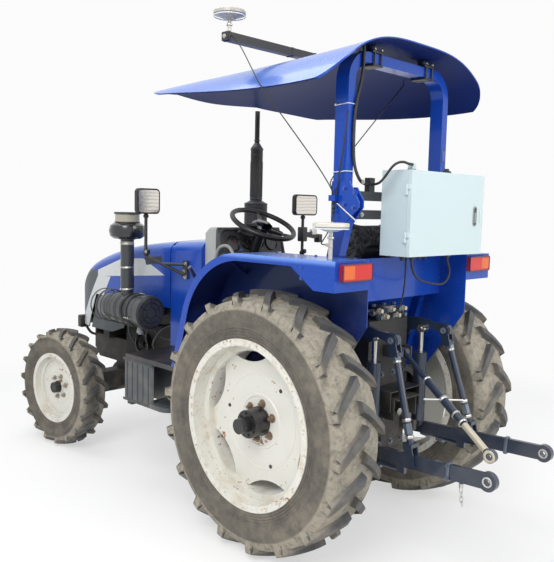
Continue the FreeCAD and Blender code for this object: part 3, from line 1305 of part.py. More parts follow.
def ram_barrels():
    eye = cyl((RAM_X, RAM_Y - 15, RAM_Z), (0, 1, 0), RAM_EYE_R, 30)
    barrel = cyl((RAM_X, RAM_Y, RAM_Z + 15), (0, 0, 1), RAM_R, RAM_TOP - RAM_Z - 15)
    bore = cyl((RAM_X, RAM_Y, RAM_Z + 34), (0, 0, 1), RAM_ROD_R + RUN, RAM_TOP - RAM_Z)
    pin = cyl((RAM_X, 0, RAM_Z), (0, 1, 0), RAM_PIN_R + RUN, 400)
    return both(fuse(eye, barrel).cut(bore).cut(pin))


def ram_rods():
    top = RAM_EYE_Z - RAM_EYE_R + 4
    low = RAM_Z + 125
    stem = cyl((RAM_X, RAM_Y, low), (0, 0, 1), RAM_ROD_R, top - low)
    eye = cyl((RAM_X, RAM_Y - 9, RAM_EYE_Z), (0, 1, 0), RAM_EYE_R, 18)
    pin_end = LIFT_ARM_Y - LIFT_ARM_T / 2 - SIDE
    pin = cyl((RAM_X, RAM_Y - 13, RAM_EYE_Z), (0, 1, 0), RAM_PIN_R, pin_end - RAM_Y + 13)
    return both(fuse(stem, eye, pin))


def pto_shaft():
    """Stub with a thicker journal inside the casting."""
    stub = cyl((HOUSING_REAR, 0, PTO_Z), (-1, 0, 0), PTO_R, PTO_L)
    journal = cyl((HOUSING_REAR, 0, PTO_Z), (1, 0, 0), PTO_JOURNAL_R, PTO_JOURNAL_L)
    return fuse(stub, journal)


def drawbar():
    """Swinging drawbar under the rear housing, and the guard over the power take-off."""
    z = (HOUSING_LOW - DRAWBAR_T, HOUSING_LOW)
    bar = box((DRAWBAR_REAR, 100), (-DRAWBAR_HALF, DRAWBAR_HALF), z)
    hole = cyl((DRAWBAR_REAR + DRAWBAR_HOLE_IN, 0, z[0] - 1), (0, 0, 1), DRAWBAR_HOLE_R, DRAWBAR_T + 2)
    guard = box((HOUSING_REAR - 130, HOUSING_REAR), (-90, 90), (PTO_Z + 75, PTO_Z + 81))
    cheek = box((HOUSING_REAR - 110, HOUSING_REAR), (-90, -84), (PTO_Z - 20, PTO_Z + 75))
    return Part.makeCompound([bar.cut(hole), fuse(guard, cheek, mirror(cheek))])


def spool_valves():
    """Valve bank on the lift box: a block with its spools lying across."""
    x0 = HOUSING_REAR + VALVE_IN
    z = LIFT_BOX_TOP
    block = box((x0, x0 + 70), (-60, 40), (z, z + 62))
    pieces = []
    for k in range(2):
        pieces.append(cyl((x0 + 16 + 34 * k, 39, z + 34), (0, 1, 0), 14, 70))
        pieces.append(cyl((x0 + 16 + 34 * k, -130, z + 34), (0, 1, 0), 15, 71))
    return fuse(block, *pieces)


# ================================================================ cords
def bend(before, corner, after):
    """Ends, middle and radius of the arc that rounds one point of a cord's route."""
    u = before - corner
    w = after - corner
    turn = math.pi - u.getAngle(w)
    reach = CORD_EASE * min(u.Length, w.Length)
    radius = reach / math.tan(turn / 2)
    u.normalize()
    w.normalize()
    inward = (u + w).normalize()
    middle = corner + inward * (radius / math.cos(turn / 2) - radius)
    return corner + u * reach, middle, corner + w * reach, radius


def cord(name, route, radius):
    """Round tube along straight runs joined by tangent arcs."""
    dots = [V(*p) for p in route]
    edges = []
    here = dots[0]
    radii = []
    for k in range(1, len(dots) - 1):
        start, middle, end, r = bend(dots[k - 1], dots[k], dots[k + 1])
        edges.append(Part.LineSegment(here, start).toShape())
        edges.append(Part.Arc(start, middle, end).toShape())
        here = end
        radii.append(round(r))
    edges.append(Part.LineSegment(here, dots[-1]).toShape())
    path = Part.Wire(edges)
    ring = Part.Wire(Part.Circle(dots[0], dots[1] - dots[0], radius).toShape())
    tube = path.makePipeShell([ring], True, False)
    share = tube.Volume / (math.pi * radius ** 2 * path.Length)
    print(name, "length", round(path.Length), "radii", radii, "volume share", round(share, 4))
    node(name, tube)


def cords(roof):
    def under(x, y, radius):
        spots = [(x + dx, y + dy) for dx in (-radius, radius) for dy in (-radius, radius)]
        return min(surface_height(roof, a, b, False) for a, b in spots) - SEAM

    clip_top = CLIP_Z + CLIP_H
    cord("antenna_cable", [
        (BOOM_X - BOOM_W / 2, 500, BOOM_Z), (292, 500, BOOM_Z), (20, 606, 2076), (0, 606, 2052), (-252, 408, 1632),
        (-252, 408, 1560), (-256, 412, 1515), (-256, 424, 1468), (-250, 446, 1428), (-252, 474, 1402),
        (-268, 500, SOCKET_Z), (-300, 500, SOCKET_Z)], THIN_CORD_R)
    cord("canopy_cable", [
        (-240, 404, clip_top), (-240, 404, 1630), (-214, 400, 1668), (-46, -346, 2172), (-46, -362, 2184),
        (-46, -362, under(-46, -362, THIN_CORD_R))], THIN_CORD_R)
    cord("post_cable", [
        (-304, 391.5, TIE_CLIP_Z), (-304, 391.5, 1920), (-262, 400, 1632), (-262, 400, clip_top)], POST_CORD_R)
    x = POST_X - POST_D / 2 - LOOM_R - SEAM
    cord("post_loom", [
        (x, 300, under(x, 300, LOOM_R)), (x, 300, 2172), (x, 304, 2120), (x, 316, 2066), (x, 338, 2005),
        (x, 350, 1930), (x, 351, 1840), (x, 348, 1762), (x, 334, 1712), (x - 2, 308, 1671), (x - 5, 282, 1652),
        (x - 5, PLUG_Y[1], 1652)], LOOM_R)
    cord("cabinet_conduit", [
        (-321, 232, 1652), (-349, 232, 1652), (-375, 231, 1670), (-396, 227, 1698), (-413, 219, 1726),
        (-431, 205, 1745), (-449, 183, 1749), (-458, 158, 1740), (-458, GLAND_Y + GLAND_HALF, 1740)], CONDUIT_R)
    cord("cabinet_hose", [
        (-420, 56, CABINET_LOW), (-420, 56, 1303), (-420, 38, 1264), (-420, 4, 1236), (-420, -40, 1220),
        (-420, -90, 1211), (-420, -142, 1203), (-420, -190, 1197), (-420, -232, 1204), (-420, -262, 1228),
        (-420, -270, 1262), (-420, -256, 1290), (-420, -240, 1314), (-420, -240, CABINET_LOW)], HOSE_R)
    cord("valve_hose", [
        (-395, 62, CABINET_LOW), (-395, 62, 1296), (-393, 59, 1246), (-386, 53, 1196), (-372, 44, 1148),
        (-350, 33, 1106), (-322, 18, 1077), (-294, 8, 1060), (HOUSING_REAR + VALVE_IN, 8, 1060)], VALVE_HOSE_R)


# ================================================================ assembly
def build():
    node("transmission_housing", transmission())
    node("hitch_brackets", hitch_brackets())
    node("engine_block", engine())
    node("radiator", radiator())
    node("front_frame", front_frame())
    node("front_axle_beam", front_beam())
    for side, word in ((1, "left"), (-1, "right")):
        node("knuckle_" + word, knuckle(side))
        node("front_rim_" + word, front_rim(side))
        centre = (WHEELBASE, side * FRONT_TRACK / 2, FRONT_TIP_R)
        front = tyre_solid(centre, (0, side, 0), FRONT_RIM_W / 2, FRONT_FLANGE_R, FRONT_SEAT_R, FRONT_TYRE_W,
                           FRONT_TIP_R)
        node("front_tyre_" + word, steered(front, side))
        node("rear_rim_" + word, rear_rim(side))
        centre = (0, side * REAR_TRACK / 2, REAR_TIP_R)
        node("rear_tyre_" + word, tyre_solid(centre, (0, side, 0), REAR_RIM_W / 2, REAR_FLANGE_R, REAR_SEAT_R,
                                             REAR_TYRE_W, REAR_TIP_R))
    node("tie_rod", tie_rod())
    node("hood", hood())
    node("grille", grille())
    node("side_panels", side_panels())
    node("cowl", cowl())
    node("dash", dash())
    node("steering_column", steering_column())
    node("steering_wheel", steering_wheel())
    node("platform", platform())
    node("steps", step())
    node("fenders", both(fender()))
    node("tail_lamps", tail_lamps())
    node("seat_deck", deck())
    node("seat_base", seat_base())
    node("seat_cushion", seat_cushion())
    node("seat_back", seat_back())
    node("rops_legs", rops_legs())
    roof = canopy()
    node("rops_hoop", rops_hoop(roof))
    node("canopy", roof)
    node("gnss_boom", gnss_boom(roof))
    node("gnss_antennas", antennas())
    node("cabinet_body", cabinet_body())
    node("cabinet_door", cabinet_door())
    node("cabinet_bracket", cabinet_bracket())
    node("air_cleaner", air_cleaner())
    node("exhaust_stack", exhaust())
    node("mirrors", mirrors())
    node("mirror_glasses", mirror_glasses())
    node("lift_arms", lift_arms())
    node("lift_rods", both(lift_rod()))
    node("lower_links", both(lower_link()))
    node("top_link", top_link())
    node("ram_barrels", ram_barrels())
    node("ram_rods", ram_rods())
    node("pto_shaft", pto_shaft())
    node("drawbar", drawbar())
    node("spool_valves", spool_valves())
    cords(roof)


def middle_of_footprint():
    """Half-way between the foremost and the rearmost point of the tractor."""
    whole = Part.makeCompound(list(NODES.values())).optimalBoundingBox(False, False)
    return (whole.XMin + whole.XMax) / 2


build()
ORIGIN_X = middle_of_footprint()
for name, shape in NODES.items():
    shape.translate(V(-ORIGIN_X, 0, 0))
    shape.exportStep("parts/" + name + ".step")
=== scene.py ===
"""Looks of a compact farm tractor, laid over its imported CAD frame."""

import math
import os
import random

import bmesh
import bpy
from mathutils import Euler, Matrix, Vector


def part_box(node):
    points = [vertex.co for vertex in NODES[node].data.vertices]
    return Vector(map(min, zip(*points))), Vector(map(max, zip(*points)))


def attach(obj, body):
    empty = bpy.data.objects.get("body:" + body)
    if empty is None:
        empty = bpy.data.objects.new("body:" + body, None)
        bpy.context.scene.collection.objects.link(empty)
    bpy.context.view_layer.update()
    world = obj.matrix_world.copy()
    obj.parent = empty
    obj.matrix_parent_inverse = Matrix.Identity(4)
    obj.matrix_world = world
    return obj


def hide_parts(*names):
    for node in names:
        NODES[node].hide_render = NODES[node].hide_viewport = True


bl_info = {
    "name": "Farm tractor looks",
    "version": (1, 0, 0),
    "blender": (4, 5, 0),
    "location": "3D View > Sidebar > Tractor",
    "description": "Materials, small fittings and studio for the farm tractor frame",
    "category": "Object",
}

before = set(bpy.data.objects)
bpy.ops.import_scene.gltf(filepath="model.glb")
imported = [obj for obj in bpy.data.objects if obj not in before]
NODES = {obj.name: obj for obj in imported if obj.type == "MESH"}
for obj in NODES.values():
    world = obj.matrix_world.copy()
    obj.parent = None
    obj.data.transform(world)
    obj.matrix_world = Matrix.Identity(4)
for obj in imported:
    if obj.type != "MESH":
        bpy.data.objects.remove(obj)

REAR_X = -0.65697         # rear axle, from the origin
REAR_Z = 0.590
FRONT_X = REAR_X + 1.915
FRONT_Z = 0.372
REST_STEER = math.radians(6.0)
KINGPIN_Y = 0.400


def at(x, y, z):
    """A point given from the ground under the rear axle, in the row frame."""
    return Vector((x + REAR_X, y, z))


# ------------------------------------------------------------------ settings
class TractorPaint(bpy.types.PropertyGroup):
    body: bpy.props.FloatVectorProperty(
        name="Body paint", description="Colour of hood, fenders, canopy and roll bar", subtype="COLOR",
        size=3, min=0, max=1, default=(0.006, 0.052, 0.37))
    wheel: bpy.props.FloatVectorProperty(
        name="Wheel paint", description="Colour of the rims", subtype="COLOR",
        size=3, min=0, max=1, default=(0.72, 0.71, 0.65))
    cabinet: bpy.props.FloatVectorProperty(
        name="Cabinet paint", description="Colour of the control cabinet", subtype="COLOR",
        size=3, min=0, max=1, default=(0.56, 0.67, 0.69))
    dust: bpy.props.FloatProperty(
        name="Dust", description="How much dust lies on the lower parts", subtype="FACTOR",
        default=0.6, min=0, max=1)
    rust: bpy.props.FloatProperty(
        name="Rust", description="How many rust spots the rims carry", subtype="FACTOR",
        default=0.5, min=0, max=1)


class TractorStage(bpy.types.PropertyGroup):
    place: bpy.props.FloatVectorProperty(
        name="Camera place", description="Where the camera stands", subtype="TRANSLATION", unit="LENGTH",
        size=3, default=(-2.8837, 2.7219, 1.5315))
    heading: bpy.props.FloatProperty(
        name="Heading", description="Direction of view, from +X towards +Y", subtype="ANGLE",
        default=math.radians(-45.253))
    pitch: bpy.props.FloatProperty(
        name="Pitch", description="Tilt of the view above the horizon", subtype="ANGLE",
        default=math.radians(-5.461))
    roll: bpy.props.FloatProperty(
        name="Roll", description="Turn of the camera about its view line", subtype="ANGLE",
        default=math.radians(1.299))
    lens: bpy.props.FloatProperty(
        name="Lens", description="Focal length for a 36 mm sensor", unit="CAMERA",
        default=45.327, min=10, max=200)
    key: bpy.props.FloatProperty(
        name="Key light", description="Power of the large overhead light", unit="POWER",
        default=215.0, min=0)
    floor: bpy.props.FloatProperty(
        name="Floor size", description="Side of the floor", unit="LENGTH", default=60.0, min=10)


# ------------------------------------------------------------------ shader nodes
class Graph:
    """Short calls for building one node tree."""

    def __init__(self, tree):
        self.tree = tree

    def add(self, kind, **values):
        made = self.tree.nodes.new(kind)
        for key, value in values.items():
            setattr(made, key, value)
        return made

    def put(self, socket, value):
        if isinstance(value, bpy.types.NodeSocket):
            self.tree.links.new(value, socket)
        elif isinstance(value, (tuple, list)) and len(value) == 3 and socket.type == "RGBA":
            socket.default_value = (*value, 1)
        else:
            socket.default_value = value

    def math(self, operation, *terms, clamp=False):
        made = self.add("ShaderNodeMath", operation=operation, use_clamp=clamp)
        for socket, term in zip(made.inputs, terms):
            self.put(socket, term)
        return made.outputs[0]

    def total(self, operation, terms):
        out = terms[0]
        for term in terms[1:]:
            out = self.math(operation, out, term)
        return out

    def mix(self, factor, first, second):
        made = self.add("ShaderNodeMix", data_type="RGBA")
        self.put(made.inputs[0], factor)
        self.put(made.inputs[6], first)
        self.put(made.inputs[7], second)
        return made.outputs[2]

    def noise(self, vector, scale, detail=4.0, rough=0.55):
        made = self.add("ShaderNodeTexNoise")
        self.put(made.inputs["Vector"], vector)
        made.inputs["Scale"].default_value = scale
        made.inputs["Detail"].default_value = detail
        made.inputs["Roughness"].default_value = rough
        return made.outputs[0]

    def step(self, value, low, high):
        """0 below low, 1 above high; the other way round where low is the larger."""
        made = self.add("ShaderNodeMapRange", interpolation_type="SMOOTHSTEP")
        terms = (value, min(low, high), max(low, high), 0.0, 1.0) if low < high else (value, high, low, 1.0, 0.0)
        for socket, term in zip(made.inputs, terms):
            self.put(socket, term)
        return made.outputs[0]

    def place(self):
        return self.add("ShaderNodeTexCoord").outputs["Object"]

    def parts(self, vector):
        made = self.add("ShaderNodeSeparateXYZ")
        self.put(made.inputs[0], vector)
        return made.outputs

    def shifted(self, vector, x, y, z):
        made = self.add("ShaderNodeVectorMath", operation="SUBTRACT")
        self.put(made.inputs[0], vector)
        made.inputs[1].default_value = (x, y, z)
        return made.outputs[0]

    def length(self, vector):
        made = self.add("ShaderNodeVectorMath", operation="LENGTH")
        self.put(made.inputs[0], vector)
        return made.outputs["Value"]


def shared(name, inputs, outputs, fill):
    """A node group that is built once: fill gets its graph, inputs' sockets and outputs' sockets."""
    if name in bpy.data.node_groups:
        return bpy.data.node_groups[name]
    tree = bpy.data.node_groups.new(name, "ShaderNodeTree")
    for label, kind, value in inputs:
        socket = tree.interface.new_socket(name=label, in_out="INPUT", socket_type="NodeSocket" + kind)
        if value is not None:
            socket.default_value = value
    for label, kind in outputs:
        tree.interface.new_socket(name=label, in_out="OUTPUT", socket_type="NodeSocket" + kind)
    start = tree.nodes.new("NodeGroupInput")
    end = tree.nodes.new("NodeGroupOutput")
    fill(Graph(tree), start.outputs, end.inputs)
    return tree


def surface_group():
    """Mottling, low-lying dust and fine grain that every finish on the tractor shares."""
    def fill(g, given, out):
        place = given["Place"]
        scaled = g.add("ShaderNodeVectorMath", operation="SCALE")
        g.put(scaled.inputs[0], place)
        g.put(scaled.inputs["Scale"], given["Scale"])
        coarse = g.noise(scaled.outputs[0], 1.0, 5.0, 0.6)
        g.put(out["Mottle"], coarse)
        patch = g.noise(place, 7.0, 6.0, 0.65)
        height = g.parts(place)[2]
        fall = g.math("SUBTRACT", given["Dust top"], height)
        fall = g.math("MULTIPLY", fall, 1.6, clamp=True)
        settle = g.math("MULTIPLY", g.step(patch, 0.38, 0.72), fall)
        g.put(out["Dust"], g.math("MULTIPLY", settle, given["Dust"], clamp=True))
        fine = g.noise(scaled.outputs[0], 9.0, 3.0, 0.6)
        bump = g.add("ShaderNodeBump")
        g.put(bump.inputs["Strength"], given["Grain"])
        bump.inputs["Distance"].default_value = 0.002
        g.put(bump.inputs["Height"], fine)
        g.put(out["Normal"], bump.outputs[0])

    return shared("surface", [
        ("Place", "Vector", None), ("Scale", "Float", 12.0), ("Dust top", "Float", 1.0),
        ("Dust", "Float", 0.5), ("Grain", "Float", 0.1)],
        [("Mottle", "Float"), ("Dust", "Float"), ("Normal", "Vector")], fill)


DUST = (0.36, 0.31, 0.24)


def finish(name, base, rough=0.5, metal=0.0, coat=0.0, second=None, scale=12.0, amount=0.25, dust=0.5,
           dust_top=1.0, grain=0.1, areas=(), extra=None):
    """A procedural material: base colour with mottling, settled dust and named areas of other colours.

    areas holds (mask, colour, roughness, metal): mask gets the graph and the place, and gives a value."""
    paint = bpy.context.scene.tractor_paint
    material = bpy.data.materials.new(name)
    material.use_nodes = True
    g = Graph(material.node_tree)
    shader = material.node_tree.nodes["Principled BSDF"]
    place = g.place()
    wear = g.add("ShaderNodeGroup", node_tree=surface_group())
    g.put(wear.inputs["Place"], place)
    for key, value in (("Scale", scale), ("Dust top", dust_top), ("Dust", dust * paint.dust), ("Grain", grain)):
        wear.inputs[key].default_value = value
    dark = second or tuple(0.72 * c for c in base)
    colour = g.mix(g.math("MULTIPLY", wear.outputs["Mottle"], amount), base, dark)
    roughness = g.math("ADD", g.math("MULTIPLY", wear.outputs["Mottle"], 0.16), rough - 0.08)
    metallic = metal
    for mask, tone, rough_there, metal_there in areas:
        inside = mask(g, place)
        colour = g.mix(inside, colour, tone)
        made = g.add("ShaderNodeMix", data_type="FLOAT")
        g.put(made.inputs[0], inside)
        g.put(made.inputs[2], roughness)
        g.put(made.inputs[3], rough_there)
        roughness = made.outputs[0]
        made = g.add("ShaderNodeMix", data_type="FLOAT")
        g.put(made.inputs[0], inside)
        g.put(made.inputs[2], metallic)
        g.put(made.inputs[3], metal_there)
        metallic = made.outputs[0]
    colour = g.mix(wear.outputs["Dust"], colour, DUST)
    roughness = g.math("MAXIMUM", roughness, g.math("MULTIPLY", wear.outputs["Dust"], 0.85))
    g.put(shader.inputs["Base Color"], colour)
    g.put(shader.inputs["Roughness"], roughness)
    g.put(shader.inputs["Metallic"], metallic)
    g.put(shader.inputs["Coat Weight"], coat)
    shader.inputs["Coat Roughness"].default_value = 0.08
    g.put(shader.inputs["Normal"], wear.outputs["Normal"])
    if extra:
        extra(g, shader, place, wear)
    return material


def radius_mask(x, y, z, axis, low, high, blur=0.0006):
    """Where a point's distance from an axis lies between low and high."""
    def mask(g, place):
        turned = g.shifted(place, x, y, z)
        if axis == "Z":
            scale = (1, 1, 0)
        elif axis == "X":
            scale = (0, 1, 1)
        else:
            scale = (1, 0, 1)
        flat = g.add("ShaderNodeVectorMath", operation="MULTIPLY")
        g.put(flat.inputs[0], turned)
        flat.inputs[1].default_value = scale
        r = g.length(flat.outputs[0])
        return g.math("MULTIPLY", g.step(r, low - blur, low + blur), g.step(r, high + blur, high - blur))
    return mask


def range_mask(axis, low, high, blur=0.0006):
    """Where one coordinate lies between low and high."""
    def mask(g, place):
        v = g.parts(place)["XYZ".index(axis)]
        return g.math("MULTIPLY", g.step(v, low - blur, low + blur), g.step(v, high + blur, high - blur))
    return mask


def outline_mask(points, axes="XZ", blur=0.0008):
    """Inside a convex outline, given anticlockwise in two coordinates."""
    def mask(g, place):
        split = g.parts(place)
        u = split["XYZ".index(axes[0])]
        w = split["XYZ".index(axes[1])]
        sides = []
        for (u0, w0), (u1, w1) in zip(points, points[1:] + points[:1]):
            run = math.hypot(u1 - u0, w1 - w0)
            a = -(w1 - w0) / run
            b = (u1 - u0) / run
            c = -(a * u0 + b * w0)
            line = g.math("ADD", g.math("MULTIPLY_ADD", u, a, c), g.math("MULTIPLY", w, b))
            sides.append(g.step(line, -blur, blur))
        return g.total("MINIMUM", sides)
    return mask


def both_masks(*masks):
    """Where all of the masks hold."""
    def mask(g, place):
        return g.total("MINIMUM", [m(g, place) for m in masks])
    return mask


def any_mask(*masks):
    def mask(g, place):
        return g.total("MAXIMUM", [m(g, place) for m in masks])
    return mask


def shift(points):
    """Outline points (x, z) from the rear axle, in the row frame."""
    return [(x + REAR_X, z) for x, z in points]


# ------------------------------------------------------------------ geometry
def mesh_object(name, bm, material, body, smooth=True):
    """A finished mesh that rides on a body."""
    bmesh.ops.remove_doubles(bm, verts=bm.verts, dist=1e-6)
    bmesh.ops.recalc_face_normals(bm, faces=bm.faces)
    data = bpy.data.meshes.new(name)
    bm.to_mesh(data)
    bm.free()
    thing = bpy.data.objects.new(name, data)
    bpy.context.scene.collection.objects.link(thing)
    data.materials.append(material)
    for face in data.polygons:
        face.use_smooth = smooth
    if smooth:
        data.set_sharp_from_angle(angle=math.radians(38))
    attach(thing, body)
    return thing


def frame_at(centre, axis):
    """Matrix that takes +Z to axis, at centre."""
    return Matrix.Translation(Vector(centre)) @ Vector(axis).to_track_quat("Z", "Y").to_matrix().to_4x4()


def add_cyl(bm, centre, axis, radius, length, sides=20, top=None):
    """A disc or cone from centre along axis."""
    spot = frame_at(centre, axis) @ Matrix.Translation((0, 0, length / 2))
    bmesh.ops.create_cone(bm, cap_ends=True, segments=sides, radius1=radius,
                          radius2=radius if top is None else top, depth=length, matrix=spot)


def add_rod(bm, start, end, radius, sides=12):
    run = Vector(end) - Vector(start)
    add_cyl(bm, start, run, radius, run.length, sides)


def add_box(bm, centre, size, turn=None):
    spot = Matrix.Translation(Vector(centre))
    if turn is not None:
        spot = spot @ turn
    bmesh.ops.create_cube(bm, size=1, matrix=spot @ Matrix.Diagonal((*size, 1)))


def add_ring(bm, centre, axis, radius, thick, height=None, sides=40):
    """A band with a rounded section about an axis."""
    spot = frame_at(centre, axis)
    high = (height or thick) / 2
    rows = []
    for k in range(8):
        a = math.tau * k / 8
        rows.append((radius + thick / 2 * math.cos(a), high * math.sin(a)))
    rings = []
    for i in range(sides):
        t = math.tau * i / sides
        rings.append([bm.verts.new(spot @ Vector((r * math.cos(t), r * math.sin(t), z))) for r, z in rows])
    for i in range(sides):
        one = rings[i]
        two = rings[(i + 1) % sides]
        for k in range(8):
            bm.faces.new((one[k], one[(k + 1) % 8], two[(k + 1) % 8], two[k]))


def add_bolt(bm, centre, axis, across=0.010, head=0.006, washer=True):
    """A hexagon head on a washer."""
    n = Vector(axis).normalized()
    start = Vector(centre)
    if washer:
        add_cyl(bm, start, n, across * 1.05, 0.0015, 18)
        start = start + n * 0.0015
    add_cyl(bm, start, n, across * 0.62, head, 6, across * 0.60)


def add_ball(bm, centre, radius, rings=12):
    bmesh.ops.create_uvsphere(bm, u_segments=rings * 2, v_segments=rings, radius=radius,
                              matrix=Matrix.Translation(Vector(centre)))


def circle_points(centre, axis, radius, count, phase=0.0):
    spot = frame_at(centre, axis)
    return [spot @ Vector((radius * math.cos(phase + math.tau * k / count),
                           radius * math.sin(phase + math.tau * k / count), 0)) for k in range(count)]


# ------------------------------------------------------------------ operators
class TRACTOR_OT_paint(bpy.types.Operator):
    """Give every CAD node its finish"""
    bl_idname = "tractor.paint"
    bl_label = "Paint the frame"

    def execute(self, context):
        paint = context.scene.tractor_paint
        blue = tuple(paint.body)
        # navy is painted shade, for the canopy's underside and for the fenders' undersides and inner walls.
        navy = (0.006, 0.018, 0.12)
        cream = tuple(paint.wheel)
        black = (0.012, 0.012, 0.014)
        silver = (0.62, 0.64, 0.64)
        made = {}

        def give(names, material):
            for name in names:
                if name not in NODES:
                    continue
                data = NODES[name].data
                data.materials.clear()
                data.materials.append(material)
                made[name] = material.name

        # sky: up-facing blue paint is painted paler, a painted highlight standing in for the sky's reflection; every
        # blue finish below carries it.
        sky = (painted_sky_highlight, (0.20, 0.37, 0.86), 0.26, 0.0)
        blue_kind = dict(rough=0.26, coat=0.25, amount=0.10, grain=0.02, dust=0.10, scale=5.0)
        give(("cowl", "seat_deck"), finish("blue_paint", blue, dust_top=1.3, areas=[sky], extra=sky_tint, **blue_kind))
        # hood: silver side band, grille wedge, vent, nose band
        band = both_masks(outline_mask(shift([(1.138, 1.137), (1.903, 1.070), (1.903, 1.112), (1.60, 1.206),
                                              (1.36, 1.222)])), side_only(0.20))
        nose = both_masks(outline_mask(shift([(2.006, 0.70), (2.180, 0.70), (1.903, 1.075), (1.741, 1.080)])),
                          side_only(0.15))
        wedge = both_masks(outline_mask(shift([(2.085, 0.83), (2.30, 0.75), (2.30, 1.11), (1.903, 1.11),
                                               (1.903, 1.075)])), side_only(0.17))
        vent = both_masks(outline_mask(shift([(1.16, 1.205), (1.33, 1.185), (1.345, 1.228), (1.17, 1.248)])), side_only(0.20))
        give(("hood",), finish("hood_paint", blue, extra=sky_tint, areas=[
            sky, (band, silver, 0.32, 0.0), (nose, silver, 0.32, 0.0), (wedge, (0.09, 0.095, 0.09), 0.55, 0.2),
            (vent, (0.01, 0.012, 0.015), 0.5, 0.0)], **blue_kind))
        # Canopy: its down-facing underside is painted navy as painted shade, its up-facing top carries the painted sky
        # highlight.
        roof = finish("roof_paint", blue, dust_top=0.5, areas=[sky, (facing_down, navy, 0.55, 0.0)], extra=dull_below,
                      **blue_kind)
        give(("canopy",), roof)
        give(("rops_legs",), finish("post_paint", blue, dust_top=0.9, areas=[sky], extra=sky_tint, **blue_kind))
        give(("rops_hoop",), finish("hoop_paint", blue, extra=sky_tint, areas=[
            sky, (range_mask("Z", 2.2165, 2.5), black, 0.5, 0.0)], **blue_kind))
        # Fenders: painted highlights on up-facing paint and along the rolled upper edge, and painted shade in navy
        # under the fenders and on their inner walls.
        inner = [sky, (painted_edge_highlight, (0.24, 0.42, 0.92), 0.26, 0.0), (painted_fender_shade, navy, 0.42, 0.0)]
        give(("fenders",), finish("fender_paint", blue, dust_top=1.25, areas=inner, rough=0.27, coat=0.25,
                                                     extra=sky_tint, amount=0.12, grain=0.02, dust=0.35, scale=5.0))
        give(("cabinet_body", "cabinet_door"), finish("cabinet_paint", tuple(paint.cabinet), rough=0.42, coat=0.2,
                                                      amount=0.10, grain=0.03, dust=0.10, dust_top=1.6, scale=4.0))
        for side, word in ((1, "left"), (-1, "right")):
            give(("rear_rim_" + word,), rim_finish("rear_rim_paint_" + word, cream, side, True))
            give(("front_rim_" + word,), rim_finish("front_rim_paint_" + word, cream, side, False))
            # The last colour is the bar tops' painted light: paler on the rear tyres as a painted highlight, darker on
            # the front tyres as painted shade.
            give(("rear_tyre_" + word,), tyre_finish("rear_tyre_rubber_" + word, REAR_X, REAR_Z, 0.59, 0.385,
                                                       (0.085, 0.092, 0.104)))
            give(("front_tyre_" + word,), tyre_finish("front_tyre_rubber_" + word, FRONT_X, FRONT_Z, 0.372, 0.226,
                                                        (0.026, 0.030, 0.040)))
        cast = finish("cast_black", (0.018, 0.018, 0.020), rough=0.62, amount=0.5, second=(0.05, 0.045, 0.04), grain=0.35,
                      dust=0.55, dust_top=0.9, scale=9.0)
        # Engine block and radiator: black cast metal, made darker and less dusty than the other castings as painted
        # shade of the engine bay.
        give(("engine_block", "radiator"), finish("engine_black_painted_shade", (0.007, 0.007, 0.008), rough=0.55, amount=0.5,
                                                  second=(0.030, 0.027, 0.022), grain=0.35, dust=0.16, dust_top=0.9,
                                                  scale=14.0))
        give(("transmission_housing", "front_axle_beam", "knuckle_left", "knuckle_right", "front_frame",
              "tie_rod", "drawbar", "hitch_brackets"), cast)
        link = finish("link_black", (0.012, 0.022, 0.046), rough=0.34, coat=0.5, amount=0.4, second=(0.035, 0.045, 0.065),
                      grain=0.10, dust=0.28, dust_top=0.8, scale=8.0)
        give(("lift_arms", "lift_rods", "lower_links", "ram_barrels", "top_link"), link)
        give(("ram_rods", "pto_shaft"), finish("bright_steel", (0.62, 0.62, 0.60), rough=0.25, metal=1.0, amount=0.4,
                                               grain=0.05, dust=0.15, dust_top=0.7))
        give(("spool_valves",), finish("valve_metal", (0.16, 0.20, 0.24), rough=0.42, metal=0.6, amount=0.5,
                                       second=(0.30, 0.24, 0.12), grain=0.15, dust=0.3, dust_top=1.4, scale=22.0))
        give(("grille",), finish("grille_mesh", (0.10, 0.105, 0.10), rough=0.55, metal=0.3, areas=[
            (mesh_holes, (0.004, 0.004, 0.004), 0.8, 0.0)]))
        give(("side_panels",), finish("panel_grey", (0.085, 0.10, 0.11), rough=0.55, amount=0.3, grain=0.1, dust=0.4))
        give(("dash",), finish("dash_plastic", (0.42, 0.43, 0.42), rough=0.5, amount=0.2, grain=0.06, dust=0.2,
                               dust_top=1.5, areas=[(range_mask("X", -1, REAR_X + 0.712), (0.055, 0.056, 0.058), 0.5, 0.0),
                                                    (dash_face, (0.030, 0.029, 0.031), 0.45, 0.0)]))
        give(("steering_column", "steering_wheel"), finish("wheel_plastic", (0.014, 0.014, 0.015), rough=0.38, amount=0.3,
                                                           grain=0.1, dust=0.1, dust_top=1.6))
        give(("platform", "seat_base", "cabinet_bracket", "gnss_boom"), finish(
            "black_paint", (0.014, 0.014, 0.017), rough=0.42, coat=0.25, amount=0.3, grain=0.1, dust=0.35, dust_top=1.0))
        give(("steps",), finish("step_plastic", (0.055, 0.068, 0.078), rough=0.5, amount=0.4, second=(0.10, 0.11, 0.11),
                                grain=0.12, dust=0.5, dust_top=1.1))
        beige = (0.40, 0.37, 0.30)
        snorkel_x = 1.30 + REAR_X
        cup = both_masks(radius_mask(snorkel_x, 0.42, 0, "Z", -1, 0.0712), range_mask("Z", 1.4425, 1.4875))
        bands = both_masks(any_mask(range_mask("Z", 1.312, 1.330), range_mask("Z", 1.176, 1.183),
                                    range_mask("Z", 1.048, 1.058)), radius_mask(snorkel_x, 0.42, 0, "Z", -1, 0.045))
